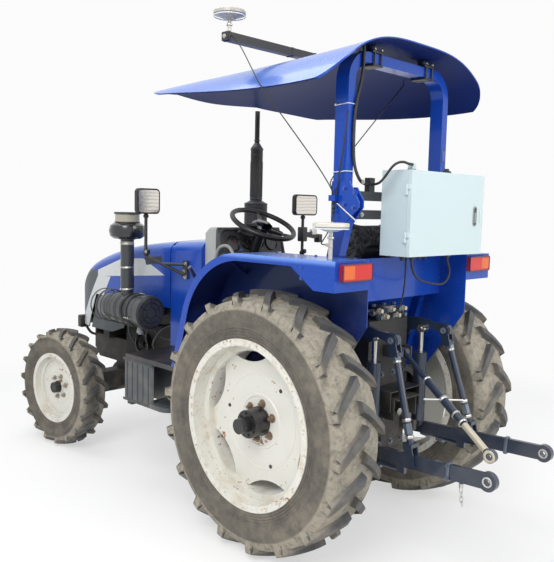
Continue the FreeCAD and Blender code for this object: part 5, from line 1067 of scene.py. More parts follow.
# ------------------------------------------------------------------ seat
class TRACTOR_OT_seat(bpy.types.Operator):
    """Sew and fill the seat's cushion and back"""
    bl_idname = "tractor.seat"
    bl_label = "Build the seat"

    def execute(self, context):
        fabric = NODES["seat_cushion"].data.materials[0]
        level = Matrix.Translation(at(0.108, 0, 1.083))
        self.pad("seat_cushion", fabric, (0, 0, 0), (0.395, 0.430, 0.084), level,
                 [(1, 0.118, 0, -0.17, 0.17), (1, -0.118, 0, -0.17, 0.17), (0, -0.06, 1, -0.118, 0.118),
                  (0, 0.05, 1, -0.118, 0.118)], (2, 0.022))
        lean = Matrix.Translation(at(-0.140, 0, 1.139)) @ Matrix.Rotation(math.radians(-8), 4, "Y")
        self.pad("seat_back", fabric, (0.048, 0, 0.182), (0.076, 0.410, 0.330), lean,
                 [(1, 0.105, 2, 0.03, 0.33), (1, -0.105, 2, 0.03, 0.33), (2, 0.13, 1, -0.105, 0.105),
                  (2, 0.23, 1, -0.105, 0.105)], (0, 0.078))
        return {"FINISHED"}

    def pad(self, node, fabric, centre, size, turn, seams, welt):
        low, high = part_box(node)
        bm = bmesh.new()
        bmesh.ops.create_cube(bm, size=1, matrix=Matrix.Diagonal((*size, 1)))
        bmesh.ops.bevel(bm, geom=bm.edges[:], offset=min(size) * 0.36, segments=5, profile=0.5, affect="EDGES",
                        material=-1, clamp_overlap=True)
        bmesh.ops.subdivide_edges(bm, edges=bm.edges[:], cuts=1, use_grid_fill=True)
        bmesh.ops.transform(bm, matrix=turn @ Matrix.Translation(centre), verts=bm.verts)
        pad = mesh_object(node + "_cover", bm, fabric, "chassis")
        self.fill_out(pad, low, high)
        self.sew(pad, turn, seams, welt)
        smooth = pad.modifiers.new("smooth", "SUBSURF")
        smooth.levels = smooth.render_levels = 1
        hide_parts(node)
        return pad

    def fill_out(self, pad, low, high):
        """Voxel remesh, then a short cloth simulation with pressure, its travel capped."""
        scene = bpy.context.scene
        remesh = pad.modifiers.new("remesh", "REMESH")
        remesh.mode = "VOXEL"
        remesh.voxel_size = 0.007
        self.apply_all(pad)
        start = [v.co.copy() for v in pad.data.vertices]
        cloth = pad.modifiers.new("cloth", "CLOTH")
        cloth.settings.use_pressure = True
        cloth.settings.uniform_pressure_force = 4.0
        cloth.settings.effector_weights.gravity = 0.0
        cloth.settings.quality = 5
        cloth.point_cache.frame_start = 1
        cloth.point_cache.frame_end = 20
        for number in range(1, 21):
            scene.frame_set(number)
        self.apply_all(pad)
        scene.frame_set(1)
        for vertex, old in zip(pad.data.vertices, start):
            move = vertex.co - old
            if move.length > 0.024:
                vertex.co = old + move * (0.024 / move.length)
            for k in range(3):
                vertex.co[k] = min(max(vertex.co[k], low[k] + 0.001), high[k] - 0.001)

    def apply_all(self, thing):
        """Puts what the modifiers give into the mesh itself."""
        seen = thing.evaluated_get(bpy.context.evaluated_depsgraph_get())
        data = bpy.data.meshes.new_from_object(seen)
        material = thing.data.materials[0]
        thing.modifiers.clear()
        thing.data = data
        data.materials.clear()
        data.materials.append(material)
        for face in data.polygons:
            face.use_smooth = True

    def sew(self, pad, turn, seams, welt):
        """Sinks the seams into the pad and raises its welt. seams holds (axis, place, from, to) in the pad's own frame."""
        back = turn.inverted()
        shape = pad.data
        normals = [v.normal.copy() for v in shape.vertices]
        for vertex, normal in zip(shape.vertices, normals):
            spot = back @ vertex.co
            push = 0.0
            for axis, where, other, first, last in seams:
                if first < spot[other] < last:
                    push -= 0.0065 * math.exp(-((spot[axis] - where) / 0.0055) ** 2)
            axis, where = welt
            push += 0.0022 * math.exp(-((spot[axis] - where) / 0.0038) ** 2)
            vertex.co = vertex.co + normal * push


# ------------------------------------------------------------------ trim
def add_frame(bm, spot, half_u, half_v, corner, wide, high, steps=8):
    """A rounded bead along a rounded rectangle, in the plane of spot's first two axes."""
    path = []
    for ku, kv, start in ((1, 1, 0), (-1, 1, 90), (-1, -1, 180), (1, -1, 270)):
        for k in range(steps + 1):
            a = math.radians(start + 90 * k / steps)
            path.append((ku * (half_u - corner) + corner * math.cos(a), kv * (half_v - corner) + corner * math.sin(a),
                         math.cos(a), math.sin(a)))
    rows = []
    for k in range(8):
        a = math.tau * k / 8
        rows.append((wide / 2 * math.cos(a), high / 2 * math.sin(a)))
    rings = [[bm.verts.new(spot @ Vector((u + nu * r, v + nv * r, h))) for r, h in rows] for u, v, nu, nv in path]
    for one, two in zip(rings, rings[1:] + rings[:1]):
        for k in range(8):
            bm.faces.new((one[k], one[(k + 1) % 8], two[(k + 1) % 8], two[k]))


def add_tube(bm, points, radius, sides=10, per=6):
    """A bent rigid tube through its points."""
    dots = [Vector(p) for p in points]
    line = []
    for k in range(len(dots) - 1):
        p0 = dots[max(k - 1, 0)]
        p3 = dots[min(k + 2, len(dots) - 1)]
        for j in range(per):
            t = j / per
            line.append(0.5 * (2 * dots[k] + (dots[k + 1] - p0) * t + (2 * p0 - 5 * dots[k] + 4 * dots[k + 1] - p3) * t * t
                               + (3 * dots[k] - p0 - 3 * dots[k + 1] + p3) * t ** 3))
    line.append(dots[-1])
    rings = []
    for k, dot in enumerate(line):
        way = line[min(k + 1, len(line) - 1)] - line[max(k - 1, 0)]
        spot = frame_at(dot, way)
        rings.append([bm.verts.new(spot @ Vector((radius * math.cos(math.tau * i / sides),
                                                  radius * math.sin(math.tau * i / sides), 0))) for i in range(sides)])
    for one, two in zip(rings, rings[1:]):
        for k in range(sides):
            bm.faces.new((one[k], one[(k + 1) % sides], two[(k + 1) % sides], two[k]))
    bm.faces.new(rings[0])
    bm.faces.new(rings[-1])


def add_block(bm, centre, size, turn=None, soft=0.003):
    """A box with rounded edges."""
    part = bmesh.new()
    bmesh.ops.create_cube(part, size=1, matrix=Matrix.Diagonal((*size, 1)))
    bmesh.ops.bevel(part, geom=part.edges[:], offset=min(soft, min(size) * 0.45), segments=3, profile=0.5,
                    affect="EDGES", material=-1, clamp_overlap=True)
    spot = Matrix.Translation(Vector(centre)) @ (turn or Matrix.Identity(4))
    bmesh.ops.transform(part, matrix=spot, verts=part.verts)
    data = bpy.data.meshes.new("block")
    part.to_mesh(data)
    part.free()
    bm.from_mesh(data)
    bpy.data.meshes.remove(data)


class Bench:
    """Collects shapes by name, material and body, and makes one object of each."""

    def __init__(self):
        self.lots = {}

    def lot(self, name, material, body="chassis"):
        if name not in self.lots:
            self.lots[name] = (bmesh.new(), material, body)
        return self.lots[name][0]

    def done(self):
        for name, (bm, material, body) in self.lots.items():
            mesh_object(name, bm, material, body)


def trim_paints():
    """The finishes that small fittings share, made once."""
    kinds = {
        "trim_black": dict(base=(0.012, 0.012, 0.014), rough=0.45, coat=0.15, amount=0.4, grain=0.15, dust=0.25),
        "trim_gloss": dict(base=(0.010, 0.011, 0.013), rough=0.22, coat=0.7, amount=0.2, grain=0.03, dust=0.15),
        "trim_grey": dict(base=(0.30, 0.31, 0.31), rough=0.5, amount=0.3, grain=0.08, dust=0.2, dust_top=1.5),
        "trim_dark_grey": dict(base=(0.050, 0.054, 0.058), rough=0.5, amount=0.35, grain=0.12, dust=0.3),
        "trim_zinc": dict(base=(0.62, 0.62, 0.60), rough=0.32, metal=0.9, amount=0.5, second=(0.34, 0.32, 0.29),
                          grain=0.12, dust=0.15, scale=40.0),
        "trim_brass": dict(base=(0.62, 0.57, 0.46), rough=0.40, metal=0.45, amount=0.5, second=(0.44, 0.38, 0.26),
                           grain=0.2, dust=0.2, scale=40.0),
        "trim_blue": dict(base=tuple(bpy.context.scene.tractor_paint.body), rough=0.28, coat=0.8, amount=0.1, grain=0.03,
                          dust=0.1),
        "trim_navy": dict(base=(0.006, 0.016, 0.10), rough=0.42, coat=0.2, amount=0.3, grain=0.06, dust=0.25),
        "trim_white": dict(base=(0.74, 0.75, 0.75), rough=0.45, amount=0.2, grain=0.04, dust=0.1, dust_top=2.4),
        "trim_red": dict(base=(0.42, 0.03, 0.02), rough=0.35, coat=0.4, amount=0.2, grain=0.03, dust=0.1),
        "trim_steel_blue": dict(base=(0.10, 0.14, 0.20), rough=0.35, metal=0.6, amount=0.5, second=(0.24, 0.25, 0.24),
                                grain=0.15, dust=0.25, scale=30.0),
        "trim_glass": dict(base=(0.020, 0.021, 0.023), rough=0.22, coat=0.25, amount=0.15, grain=0.01, dust=0.1),
    }
    made = {}
    for name, values in kinds.items():
        short = name.split("trim_")[1]
        made[short] = bpy.data.materials.get(name) or finish(name, **values)
    return made


class TRACTOR_OT_front(bpy.types.Operator):
    """Add the nose lamps, air cleaner fittings, stack rings and mirror fittings"""
    bl_idname = "tractor.front"
    bl_label = "Build the front fittings"

    def execute(self, context):
        self.bench = Bench()
        self.paint = trim_paints()
        self.nose()
        self.cleaner()
        self.stack()
        self.mirrors()
        self.bench.done()
        return {"FINISHED"}

    def nose(self):
        dark = self.bench.lot("nose_lamps", self.paint["black"])
        lens = self.bench.lot("nose_lamp_glass", self.paint["glass"])
        for side in (1, -1):
            add_block(dark, at(2.165, side * 0.205, 0.735), (0.050, 0.075, 0.085), soft=0.010)
            add_tube(dark, [at(2.100, side * 0.140, 0.640), at(2.125, side * 0.175, 0.655), at(2.150, side * 0.200, 0.705)],
                     0.009)
            add_block(lens, at(2.1915, side * 0.205, 0.735), (0.005, 0.062, 0.070), soft=0.002)
        strip = self.bench.lot("nose_wings", self.paint["zinc"], "hood_assembly")
        for side in (1, -1):
            add_block(strip, at(2.150, side * 0.150, 1.036), (0.030, 0.070, 0.004), soft=0.0015)
        rim = self.bench.lot("grille_surround", self.paint["dark_grey"], "hood_assembly")
        add_frame(rim, frame_at(at(2.1405, 0, 0.885), (1, 0, 0)), 0.169, 0.129,
                  0.012, 0.008, 0.006)

    def cleaner(self):
        dark = self.bench.lot("air_cleaner_bands", self.paint["dark_grey"])
        axis = Vector((1, 0, 0))
        for x, thick in ((1.072, 0.012), (1.120, 0.006), (1.180, 0.010), (1.196, 0.006), (1.300, 0.005), (1.370, 0.005),
                         (1.440, 0.005), (1.545, 0.010)):
            add_ring(dark, at(x, 0.420, 0.938), axis, 0.0945, 0.006, thick, 64)
        lid = self.bench.lot("air_cleaner_lid", self.paint["black"])
        for radius in (0.083, 0.058, 0.030):
            add_ring(lid, at(1.060, 0.420, 0.938), axis, radius, 0.007, 0.006, 56)
        for k in range(6):
            a = math.radians(30 + 60 * k)
            start = at(1.0600, 0.420 + 0.030 * math.cos(a), 0.938 + 0.030 * math.sin(a))
            end = at(1.0600, 0.420 + 0.080 * math.cos(a), 0.938 + 0.080 * math.sin(a))
            add_rod(lid, start, end, 0.0035, 8)
        clips = self.bench.lot("air_cleaner_clips", self.paint["zinc"])
        for k in range(3):
            a = math.radians(100 + 120 * k)
            out = Vector((0, math.cos(a), math.sin(a)))
            spot = at(1.176, 0.420, 0.938) + out * 0.0975
            add_rod(clips, spot - axis * 0.022, spot + axis * 0.022, 0.003, 8)
            add_rod(clips, spot - axis * 0.022 + out.cross(axis) * 0.010, spot - axis * 0.022 - out.cross(axis) * 0.010,
                    0.0025, 8)
        wheel = self.bench.lot("engine_pulley", self.paint["gloss"])
        left = Vector((0, 1, 0))
        centre = at(1.500, 0.151, 0.668)
        add_cyl(wheel, centre, left, 0.070, 0.016, 56)
        add_ring(wheel, centre + left * 0.026, left, 0.066, 0.012, 0.020, 56)
        add_cyl(wheel, centre + left * 0.016, left, 0.026, 0.022, 32)
        hoses = self.bench.lot("engine_hoses", self.paint["dark_grey"])
        for route, thick in (
                ([(1.62, 0.148, 0.900), (1.61, 0.205, 0.820), (1.58, 0.215, 0.720), (1.60, 0.148, 0.640)], 0.0075),
                ([(1.16, 0.148, 0.840), (1.24, 0.210, 0.800), (1.33, 0.215, 0.700), (1.38, 0.148, 0.630)], 0.0065),
                ([(1.10, 0.148, 0.760), (1.20, 0.190, 0.740), (1.30, 0.200, 0.760), (1.42, 0.148, 0.800)], 0.0055),
                ([(1.45, 0.148, 0.880), (1.40, 0.200, 0.800), (1.42, 0.205, 0.720), (1.46, 0.148, 0.620)], 0.0060)):
            add_tube(hoses, [at(*spot) for spot in route], thick)
        valve = self.bench.lot("dust_valve", self.paint["grey"])
        add_ball(valve, at(1.150, 0.430, 0.824), 0.021)
        add_cyl(valve, at(1.150, 0.430, 0.850), (0, 0, -1), 0.017, 0.020, 24)
        straps = self.bench.lot("air_cleaner_straps", self.paint["black"])
        for x in (1.235, 1.480):
            add_ring(straps, at(x, 0.420, 0.938), axis, 0.0965, 0.005, 0.026, 64)
            add_tube(straps, [at(x, 0.345, 0.870), at(x, 0.270, 0.830), at(x, 0.148, 0.815)], 0.010)
        dome = self.bench.lot("precleaner_bowl", self.paint["gloss"])
        for height, radius, thick, tall in ((1.392, 0.078, 0.056, 0.090),):
            add_ring(dome, at(1.300, 0.420, height), (0, 0, 1), radius, thick, tall, 72)
        lid = self.bench.lot("precleaner_lid", self.paint["dark_grey"])
        add_ring(lid, at(1.300, 0.420, 1.4935), (0, 0, 1), 0.0735, 0.006, 0.011, 72)
        add_ring(lid, at(1.300, 0.420, 1.4420), (0, 0, 1), 0.0720, 0.005, 0.006, 72)
        clamp = self.bench.lot("snorkel_clamps", self.paint["zinc"])
        for z in (1.053, 1.180, 1.320):
            add_ring(clamp, at(1.300, 0.420, z), (0, 0, 1), 0.0395, 0.003, 0.010, 48)
            add_block(clamp, at(1.300, 0.462, z), (0.016, 0.010, 0.010), soft=0.002)

    def stack(self):
        dark = self.bench.lot("stack_rings", self.paint["dark_grey"])
        up = Vector((0, 0, 1))
        for z, radius, tall in ((1.432, 0.0715, 0.008), (1.568, 0.0715, 0.008), (1.548, 0.0710, 0.005),
                                (1.600, 0.0385, 0.010), (1.905, 0.0385, 0.010), (1.870, 0.0380, 0.004),
                                (1.830, 0.0380, 0.004), (1.960, 0.0160, 0.010)):
            add_ring(dark, at(1.040, -0.356, z), up, radius, 0.005, tall, 48)
        add_cyl(dark, at(1.040, -0.356, 1.914), up, 0.037, 0.030, 40, 0.017)
        add_cyl(dark, at(1.040, -0.356, 1.569), up, 0.070, 0.018, 48, 0.040)
        for k in range(20):
            a = math.tau * k / 20
            spot = at(1.040 + 0.0378 * math.cos(a), -0.356 + 0.0378 * math.sin(a), 1.610)
            add_rod(dark, spot, spot + up * 0.215, 0.0022, 6)

    def mirrors(self):
        bolts = self.bench.lot("mirror_bolts", self.paint["zinc"])
        dark = self.bench.lot("mirror_clamps", self.paint["black"])
        for side, x, y, z, width, height in ((1, 1.070, 0.450, 1.564, 0.150, 0.140), (-1, 0.720, 0.450, 1.565, 0.195, 0.125)):
            axis = Vector((0, side, 0))
            for dx, dz in ((-0.008, 0.225 - 0.18), (0.008, 0.0), (-0.006, -0.030)):
                add_bolt(bolts, at(0.930 + dx, side * 0.2850, 1.175 + dz), axis, 0.011, 0.008)
            add_ring(dark, at(x, side * y, 1.275), (0, 0, 1), 0.0125, 0.007, 0.024, 24)
            add_block(dark, at(x - 0.018, side * y, 1.285), (0.022, 0.020, 0.026), soft=0.004)
            add_bolt(bolts, at(x - 0.018, side * (y + 0.0105), 1.285), axis, 0.008, 0.005)
            add_ring(dark, at(x, side * y, z - height / 2 - 0.012), (0, 0, 1), 0.0115, 0.007, 0.020, 24)
            if side < 0:
                add_block(dark, at(x, side * y, 1.388), (0.046, 0.044, 0.088), soft=0.006)
                add_rod(dark, at(x, side * y, 1.392), at(x, side * (y + 0.140), 1.372), 0.017, 16)
                add_block(dark, at(x, side * (y + 0.145), 1.362), (0.042, 0.036, 0.052), soft=0.006)
                add_block(bolts, at(x - 0.006, side * (y + 0.090), 1.402), (0.026, 0.046, 0.034), soft=0.005)
            add_frame(dark, frame_at(at(x - 0.0275, side * y, z), (-1, 0, 0)),
                      width / 2 - 0.005, height / 2 - 0.005, 0.020, 0.008, 0.006)


class TRACTOR_OT_cockpit(bpy.types.Operator):
    """Add the dash bezel, gauges, levers, fender bolts and step treads"""
    bl_idname = "tractor.cockpit"
    bl_label = "Build the driver's place"

    def execute(self, context):
        self.bench = Bench()
        self.paint = trim_paints()
        self.dash()
        self.wheel()
        self.levers()
        self.fenders()
        self.steps()
        self.bench.done()
        return {"FINISHED"}

    def dash(self):
        n = Vector((-0.963, 0, 0.2697))
        face = Matrix.Translation(at(0.6745, 0, 1.305)) @ Matrix(((0, 0.2697, -0.963), (-1, 0, 0), (0, 0.963, 0.2697))
                                                                  ).to_4x4()
        rim = self.bench.lot("dash_bezel", self.paint["dark_grey"])
        add_frame(rim, face, 0.236, 0.118, 0.055, 0.016, 0.018)
        dark = self.bench.lot("dash_gauges", self.paint["gloss"])
        glass = self.bench.lot("gauge_glass", self.paint["glass"])
        needles = self.bench.lot("gauge_needles", self.paint["red"])
        for u, v, radius in ((-0.145, 0.040, 0.042), (-0.045, 0.045, 0.036), (0.045, 0.045, 0.036), (0.145, 0.040, 0.042)):
            spot = face @ Vector((u, v, 0.002))
            add_ring(dark, spot, n, radius, 0.007, 0.012, 40)
            add_cyl(glass, spot, n, radius - 0.002, 0.002, 36)
            add_rod(needles, spot + n * 0.003, face @ Vector((u + radius * 0.5, v + radius * 0.5, 0.005)), 0.0012, 6)
        switches = self.bench.lot("dash_switches", self.paint["dark_grey"])
        for k in range(6):
            add_block(switches, face @ Vector((-0.15 + 0.06 * k, -0.055, 0.006)), (0.014, 0.030, 0.018), soft=0.003)
        keys = self.bench.lot("dash_key", self.paint["zinc"])
        add_cyl(keys, face @ Vector((0.19, -0.03, 0)), n, 0.013, 0.010, 24)
        add_block(keys, face @ Vector((0.19, -0.03, 0.020)), (0.003, 0.010, 0.020), soft=0.001)

    def wheel(self):
        n = Vector((-math.sin(math.radians(25)), 0, math.cos(math.radians(25))))
        centre = at(0.600, 0, 1.452)
        cap = self.bench.lot("wheel_hub_cap", self.paint["gloss"], "steering_handwheel")
        for low, radius, tall, top in ((-0.012, 0.060, 0.012, 0.055), (0.000, 0.055, 0.010, 0.040), (0.010, 0.040, 0.005, 0.012)):
            add_cyl(cap, centre + n * low, n, radius, tall, 40, top)
        cover = self.bench.lot("wheel_spoke_covers", self.paint["black"], "steering_handwheel")
        forward = Vector((0, 1, 0)).cross(n)
        for k in range(3):
            a = math.radians(120 * k + 90)
            way = forward * math.cos(a) + Vector((0, 1, 0)) * math.sin(a)
            add_cyl(cover, centre - n * 0.012 + way * 0.045, way * 0.110 + n * 0.008, 0.016, 0.075, 16, 0.010)
        stalk = self.bench.lot("column_stalks", self.paint["black"])
        base = centre - n * 0.080
        for side in (1, -1):
            add_tube(stalk, [base + Vector((0, side * 0.030, 0)), base + Vector((0.004, side * 0.085, 0.008)),
                             base + Vector((0.006, side * 0.135, 0.026))], 0.006)
            add_ball(stalk, base + Vector((0.006, side * 0.138, 0.028)), 0.011)

    def levers(self):
        rail = self.bench.lot("dash_grab_loop", self.paint["grey"])
        add_tube(rail, [at(0.700, 0.258, 1.190), at(0.690, 0.262, 1.270), at(0.655, 0.264, 1.325), at(0.590, 0.264, 1.335),
                        at(0.545, 0.264, 1.290), at(0.535, 0.264, 1.215)], 0.009, 12)
        rods = self.bench.lot("control_levers", self.paint["black"])
        knobs = self.bench.lot("lever_knobs", self.paint["red"])
        for x, y, top in ((0.560, 0.215, 1.250), (0.600, 0.175, 1.262)):
            add_tube(rods, [at(x + 0.095, y, 1.165), at(x + 0.040, y, 1.220), at(x, y, top)], 0.0055)
            add_ball(knobs, at(x, y, top + 0.010), 0.017)
        for x, y in ((0.200, -0.340), (0.240, -0.365)):
            add_tube(rods, [at(x, y, 1.000), at(x - 0.010, y + 0.006, 1.180), at(x - 0.030, y + 0.010, 1.330)], 0.006)
            add_ball(rods, at(x - 0.030, y + 0.010, 1.345), 0.016)
        add_block(rods, at(0.220, -0.350, 1.035), (0.120, 0.060, 0.070), soft=0.008)

    def fenders(self):
        bolts = self.bench.lot("fender_bolts", self.paint["blue"])
        strut = self.bench.lot("fender_struts", self.paint["navy"])
        for side in (1, -1):
            for x in (0.300, 0.060, -0.180, -0.400):
                add_bolt(bolts, at(x, side * 0.430, 1.3352), (0, 0, 1), 0.009, 0.005)
            for z in (1.255, 1.300):
                add_bolt(bolts, at(-0.262, side * 0.6082, z), (0, side, 0), 0.008, 0.004)
            for x, z, low_x, low_z in ((0.505, 1.245, 0.550, 1.020), (0.250, 1.318, 0.300, 1.225)):
                add_rod(strut, at(x, side * 0.585, z), at(low_x, side * 0.396, low_z), 0.011, 10)
            add_frame(strut, frame_at(at(-0.4595, side * 0.485, 1.288), (-1, 0, 0)),
                      0.0945, 0.0355, 0.006, 0.004, 0.006)

    def steps(self):
        ribs = self.bench.lot("step_ribs", self.paint["dark_grey"])
        slots = self.bench.lot("step_slots", self.paint["black"])
        for side in (1, -1):
            for k in range(5):
                add_block(ribs, at(0.840 + 0.050 * k, side * 0.5905, 0.590), (0.010, 0.005, 0.200), soft=0.002)
            for z in (0.478, 0.702):
                add_block(ribs, at(0.940, side * 0.5905, z), (0.272, 0.006, 0.014), soft=0.003)
            for k in range(3):
                for j in range(3):
                    add_block(slots, at(0.690 + 0.040 * j, side * (0.478 + 0.037 * k), 0.5252), (0.028, 0.012, 0.0012),
                              soft=0.0005)


class TRACTOR_OT_roof(bpy.types.Operator):
    """Add the roll bar's bolts, ties, clamps and the cabinet's fittings"""
    bl_idname = "tractor.roof"
    bl_label = "Build the roll bar and cabinet fittings"

    def execute(self, context):
        self.bench = Bench()
        self.paint = trim_paints()
        self.posts()
        self.clamps()
        self.cabinet()
        self.antennas()
        self.bench.done()
        return {"FINISHED"}

    def posts(self):
        bolts = self.bench.lot("fold_plate_bolts", self.paint["blue"])
        for side in (1, -1):
            axis = Vector((0, side, 0))
            for x, z in ((-0.300, 1.628), (-0.356, 1.610), (-0.300, 1.560), (-0.352, 1.548), (-0.252, 1.628)):
                add_bolt(bolts, at(x, side * 0.3930, z), axis, 0.013, 0.009)
        ties = self.bench.lot("post_ties", self.paint["white"])
        for z, grow in ((1.982, 0.002), (1.700, 0.002)):
            spot = Matrix.Translation(at(-0.263, 0.3625, z)) @ Matrix.Rotation(math.radians(4), 4, "Y")
            add_frame(ties, spot, 0.0365 + grow, 0.0245 + grow, 0.006, 0.002, 0.004, 5)
            add_block(ties, at(-0.263 + 0.030, 0.390, z), (0.008, 0.005, 0.007), soft=0.001)
        add_rod(ties, at(-0.262, 0.3965, 1.566), at(-0.374, 0.3965, 1.490), 0.0028, 10)
        add_ring(ties, at(-0.252, 0.408, 1.572), (0, 0.2, 1), 0.0055, 0.003, 0.004, 24)
        wraps = self.bench.lot("cable_wraps", self.paint["black"])
        for z in (1.570, 1.548, 1.530):
            add_ring(wraps, at(-0.2525, 0.4085, z), (0, 0.1, 1), 0.0048, 0.005, 0.014, 20)
        badge = self.bench.lot("post_plate", self.paint["dark_grey"])
        add_block(badge, at(-0.2987, -0.3625, 1.815), (0.0012, 0.030, 0.062), soft=0.0005)
        pale = self.bench.lot("post_plate_field", self.paint["blue"])
        add_block(pale, at(-0.2995, -0.3625, 1.815), (0.0008, 0.022, 0.050), soft=0.0003)

    def clamps(self):
        dark = self.bench.lot("canopy_clamps", self.paint["black"])
        bolts = self.bench.lot("canopy_clamp_bolts", self.paint["zinc"])
        for side in (1, -1):
            y = side * 0.200
            add_block(dark, at(-0.263, y, 2.222), (0.090, 0.080, 0.012), soft=0.004)
            add_block(dark, at(-0.263, y, 2.164), (0.090, 0.070, 0.008), soft=0.003)
            for dx in (-0.041, 0.041):
                for dy in (-0.024, 0.024):
                    add_rod(dark, at(-0.263 + dx, y + dy, 2.158), at(-0.263 + dx, y + dy, 2.238), 0.004, 10)
                    add_bolt(bolts, at(-0.263 + dx, y + dy, 2.229), (0, 0, 1), 0.008, 0.006)
        weld = self.bench.lot("roll_bar_beads", self.paint["blue"])
        for side in (1, -1):
            add_frame(weld, Matrix.Translation(at(-0.263, side * 0.3625, 1.642)), 0.0365, 0.0240, 0.005, 0.004, 0.006, 5)

    def cabinet(self):
        pale = self.bench.lot("cabinet_latch", self.paint["grey"], "door")
        dark = self.bench.lot("cabinet_latch_pit", self.paint["black"], "door")
        spot = frame_at(at(-0.4830, -0.372, 1.522), (-1, 0, 0))
        add_frame(pale, spot, 0.013, 0.046, 0.0128, 0.004, 0.004)
        add_block(dark, at(-0.4833, -0.372, 1.522), (0.0012, 0.020, 0.080), soft=0.0005)
        add_block(pale, at(-0.4845, -0.372, 1.515), (0.0040, 0.012, 0.050), soft=0.0018)
        caps = self.bench.lot("cabinet_caps", self.paint["black"])
        for x, y, radius, tall in ((-0.400, -0.235, 0.022, 0.012), (-0.400, -0.235, 0.012, 0.026), (-0.445, 0.118, 0.019, 0.004)):
            add_cyl(caps, at(x, y, 1.7171), (0, 0, 1), radius, tall, 24)
        add_ring(caps, at(-0.400, -0.235, 1.730), (0, 0, 1), 0.017, 0.006, 0.006, 30)
        glands = self.bench.lot("cabinet_glands", self.paint["black"])
        for x, y in ((-0.420, 0.056), (-0.420, -0.240), (-0.395, 0.062 + 0.030), (-0.380, -0.060), (-0.380, -0.110)):
            add_cyl(glands, at(x, y, 1.3409), (0, 0, -1), 0.014, 0.012, 6)
            add_cyl(glands, at(x, y, 1.3290), (0, 0, -1), 0.011, 0.010, 20, 0.008)
        screws = self.bench.lot("cabinet_screws", self.paint["zinc"])
        for y in (0.150, -0.425):
            for z in (1.365, 1.693):
                add_bolt(screws, at(-0.3215, y, z), (1, 0, 0), 0.007, 0.003)
        for y in (-0.300, 0.300):
            for z in (1.520, 1.660):
                add_bolt(screws, at(-0.3222, y, z), (-1, 0, 0), 0.010, 0.006)

    def antennas(self):
        pale = self.bench.lot("antenna_rims", self.paint["white"])
        zinc = self.bench.lot("antenna_stems", self.paint["zinc"])
        for x, y, top in ((0.345, 0.490, 2.450), (-0.322, 0.500, 1.486)):
            up = Vector((0, 0, 1))
            add_ring(pale, at(x, y, top - 0.026), up, 0.0745, 0.003, 0.005, 72)
            add_ring(zinc, at(x, y, top - 0.064), up, 0.0125, 0.005, 0.010, 30)
            add_ring(zinc, at(x, y, top - 0.100), up, 0.0095, 0.003, 0.006, 30)
        add_bolt(zinc, at(0.345, 0.4600, 2.3502), (0, 0, 1), 0.010, 0.006)
        add_bolt(zinc, at(0.345, 0.5200, 2.330), (0, 1, 0), 0.010, 0.006)
        dark = self.bench.lot("boom_clamps", self.paint["black"])
        for y in (0.505, 0.080, -0.090):
            add_frame(dark, frame_at(at(0.345, y, 2.330), (0, 1, 0)), 0.0215, 0.0215, 0.004, 0.003, 0.012, 4)


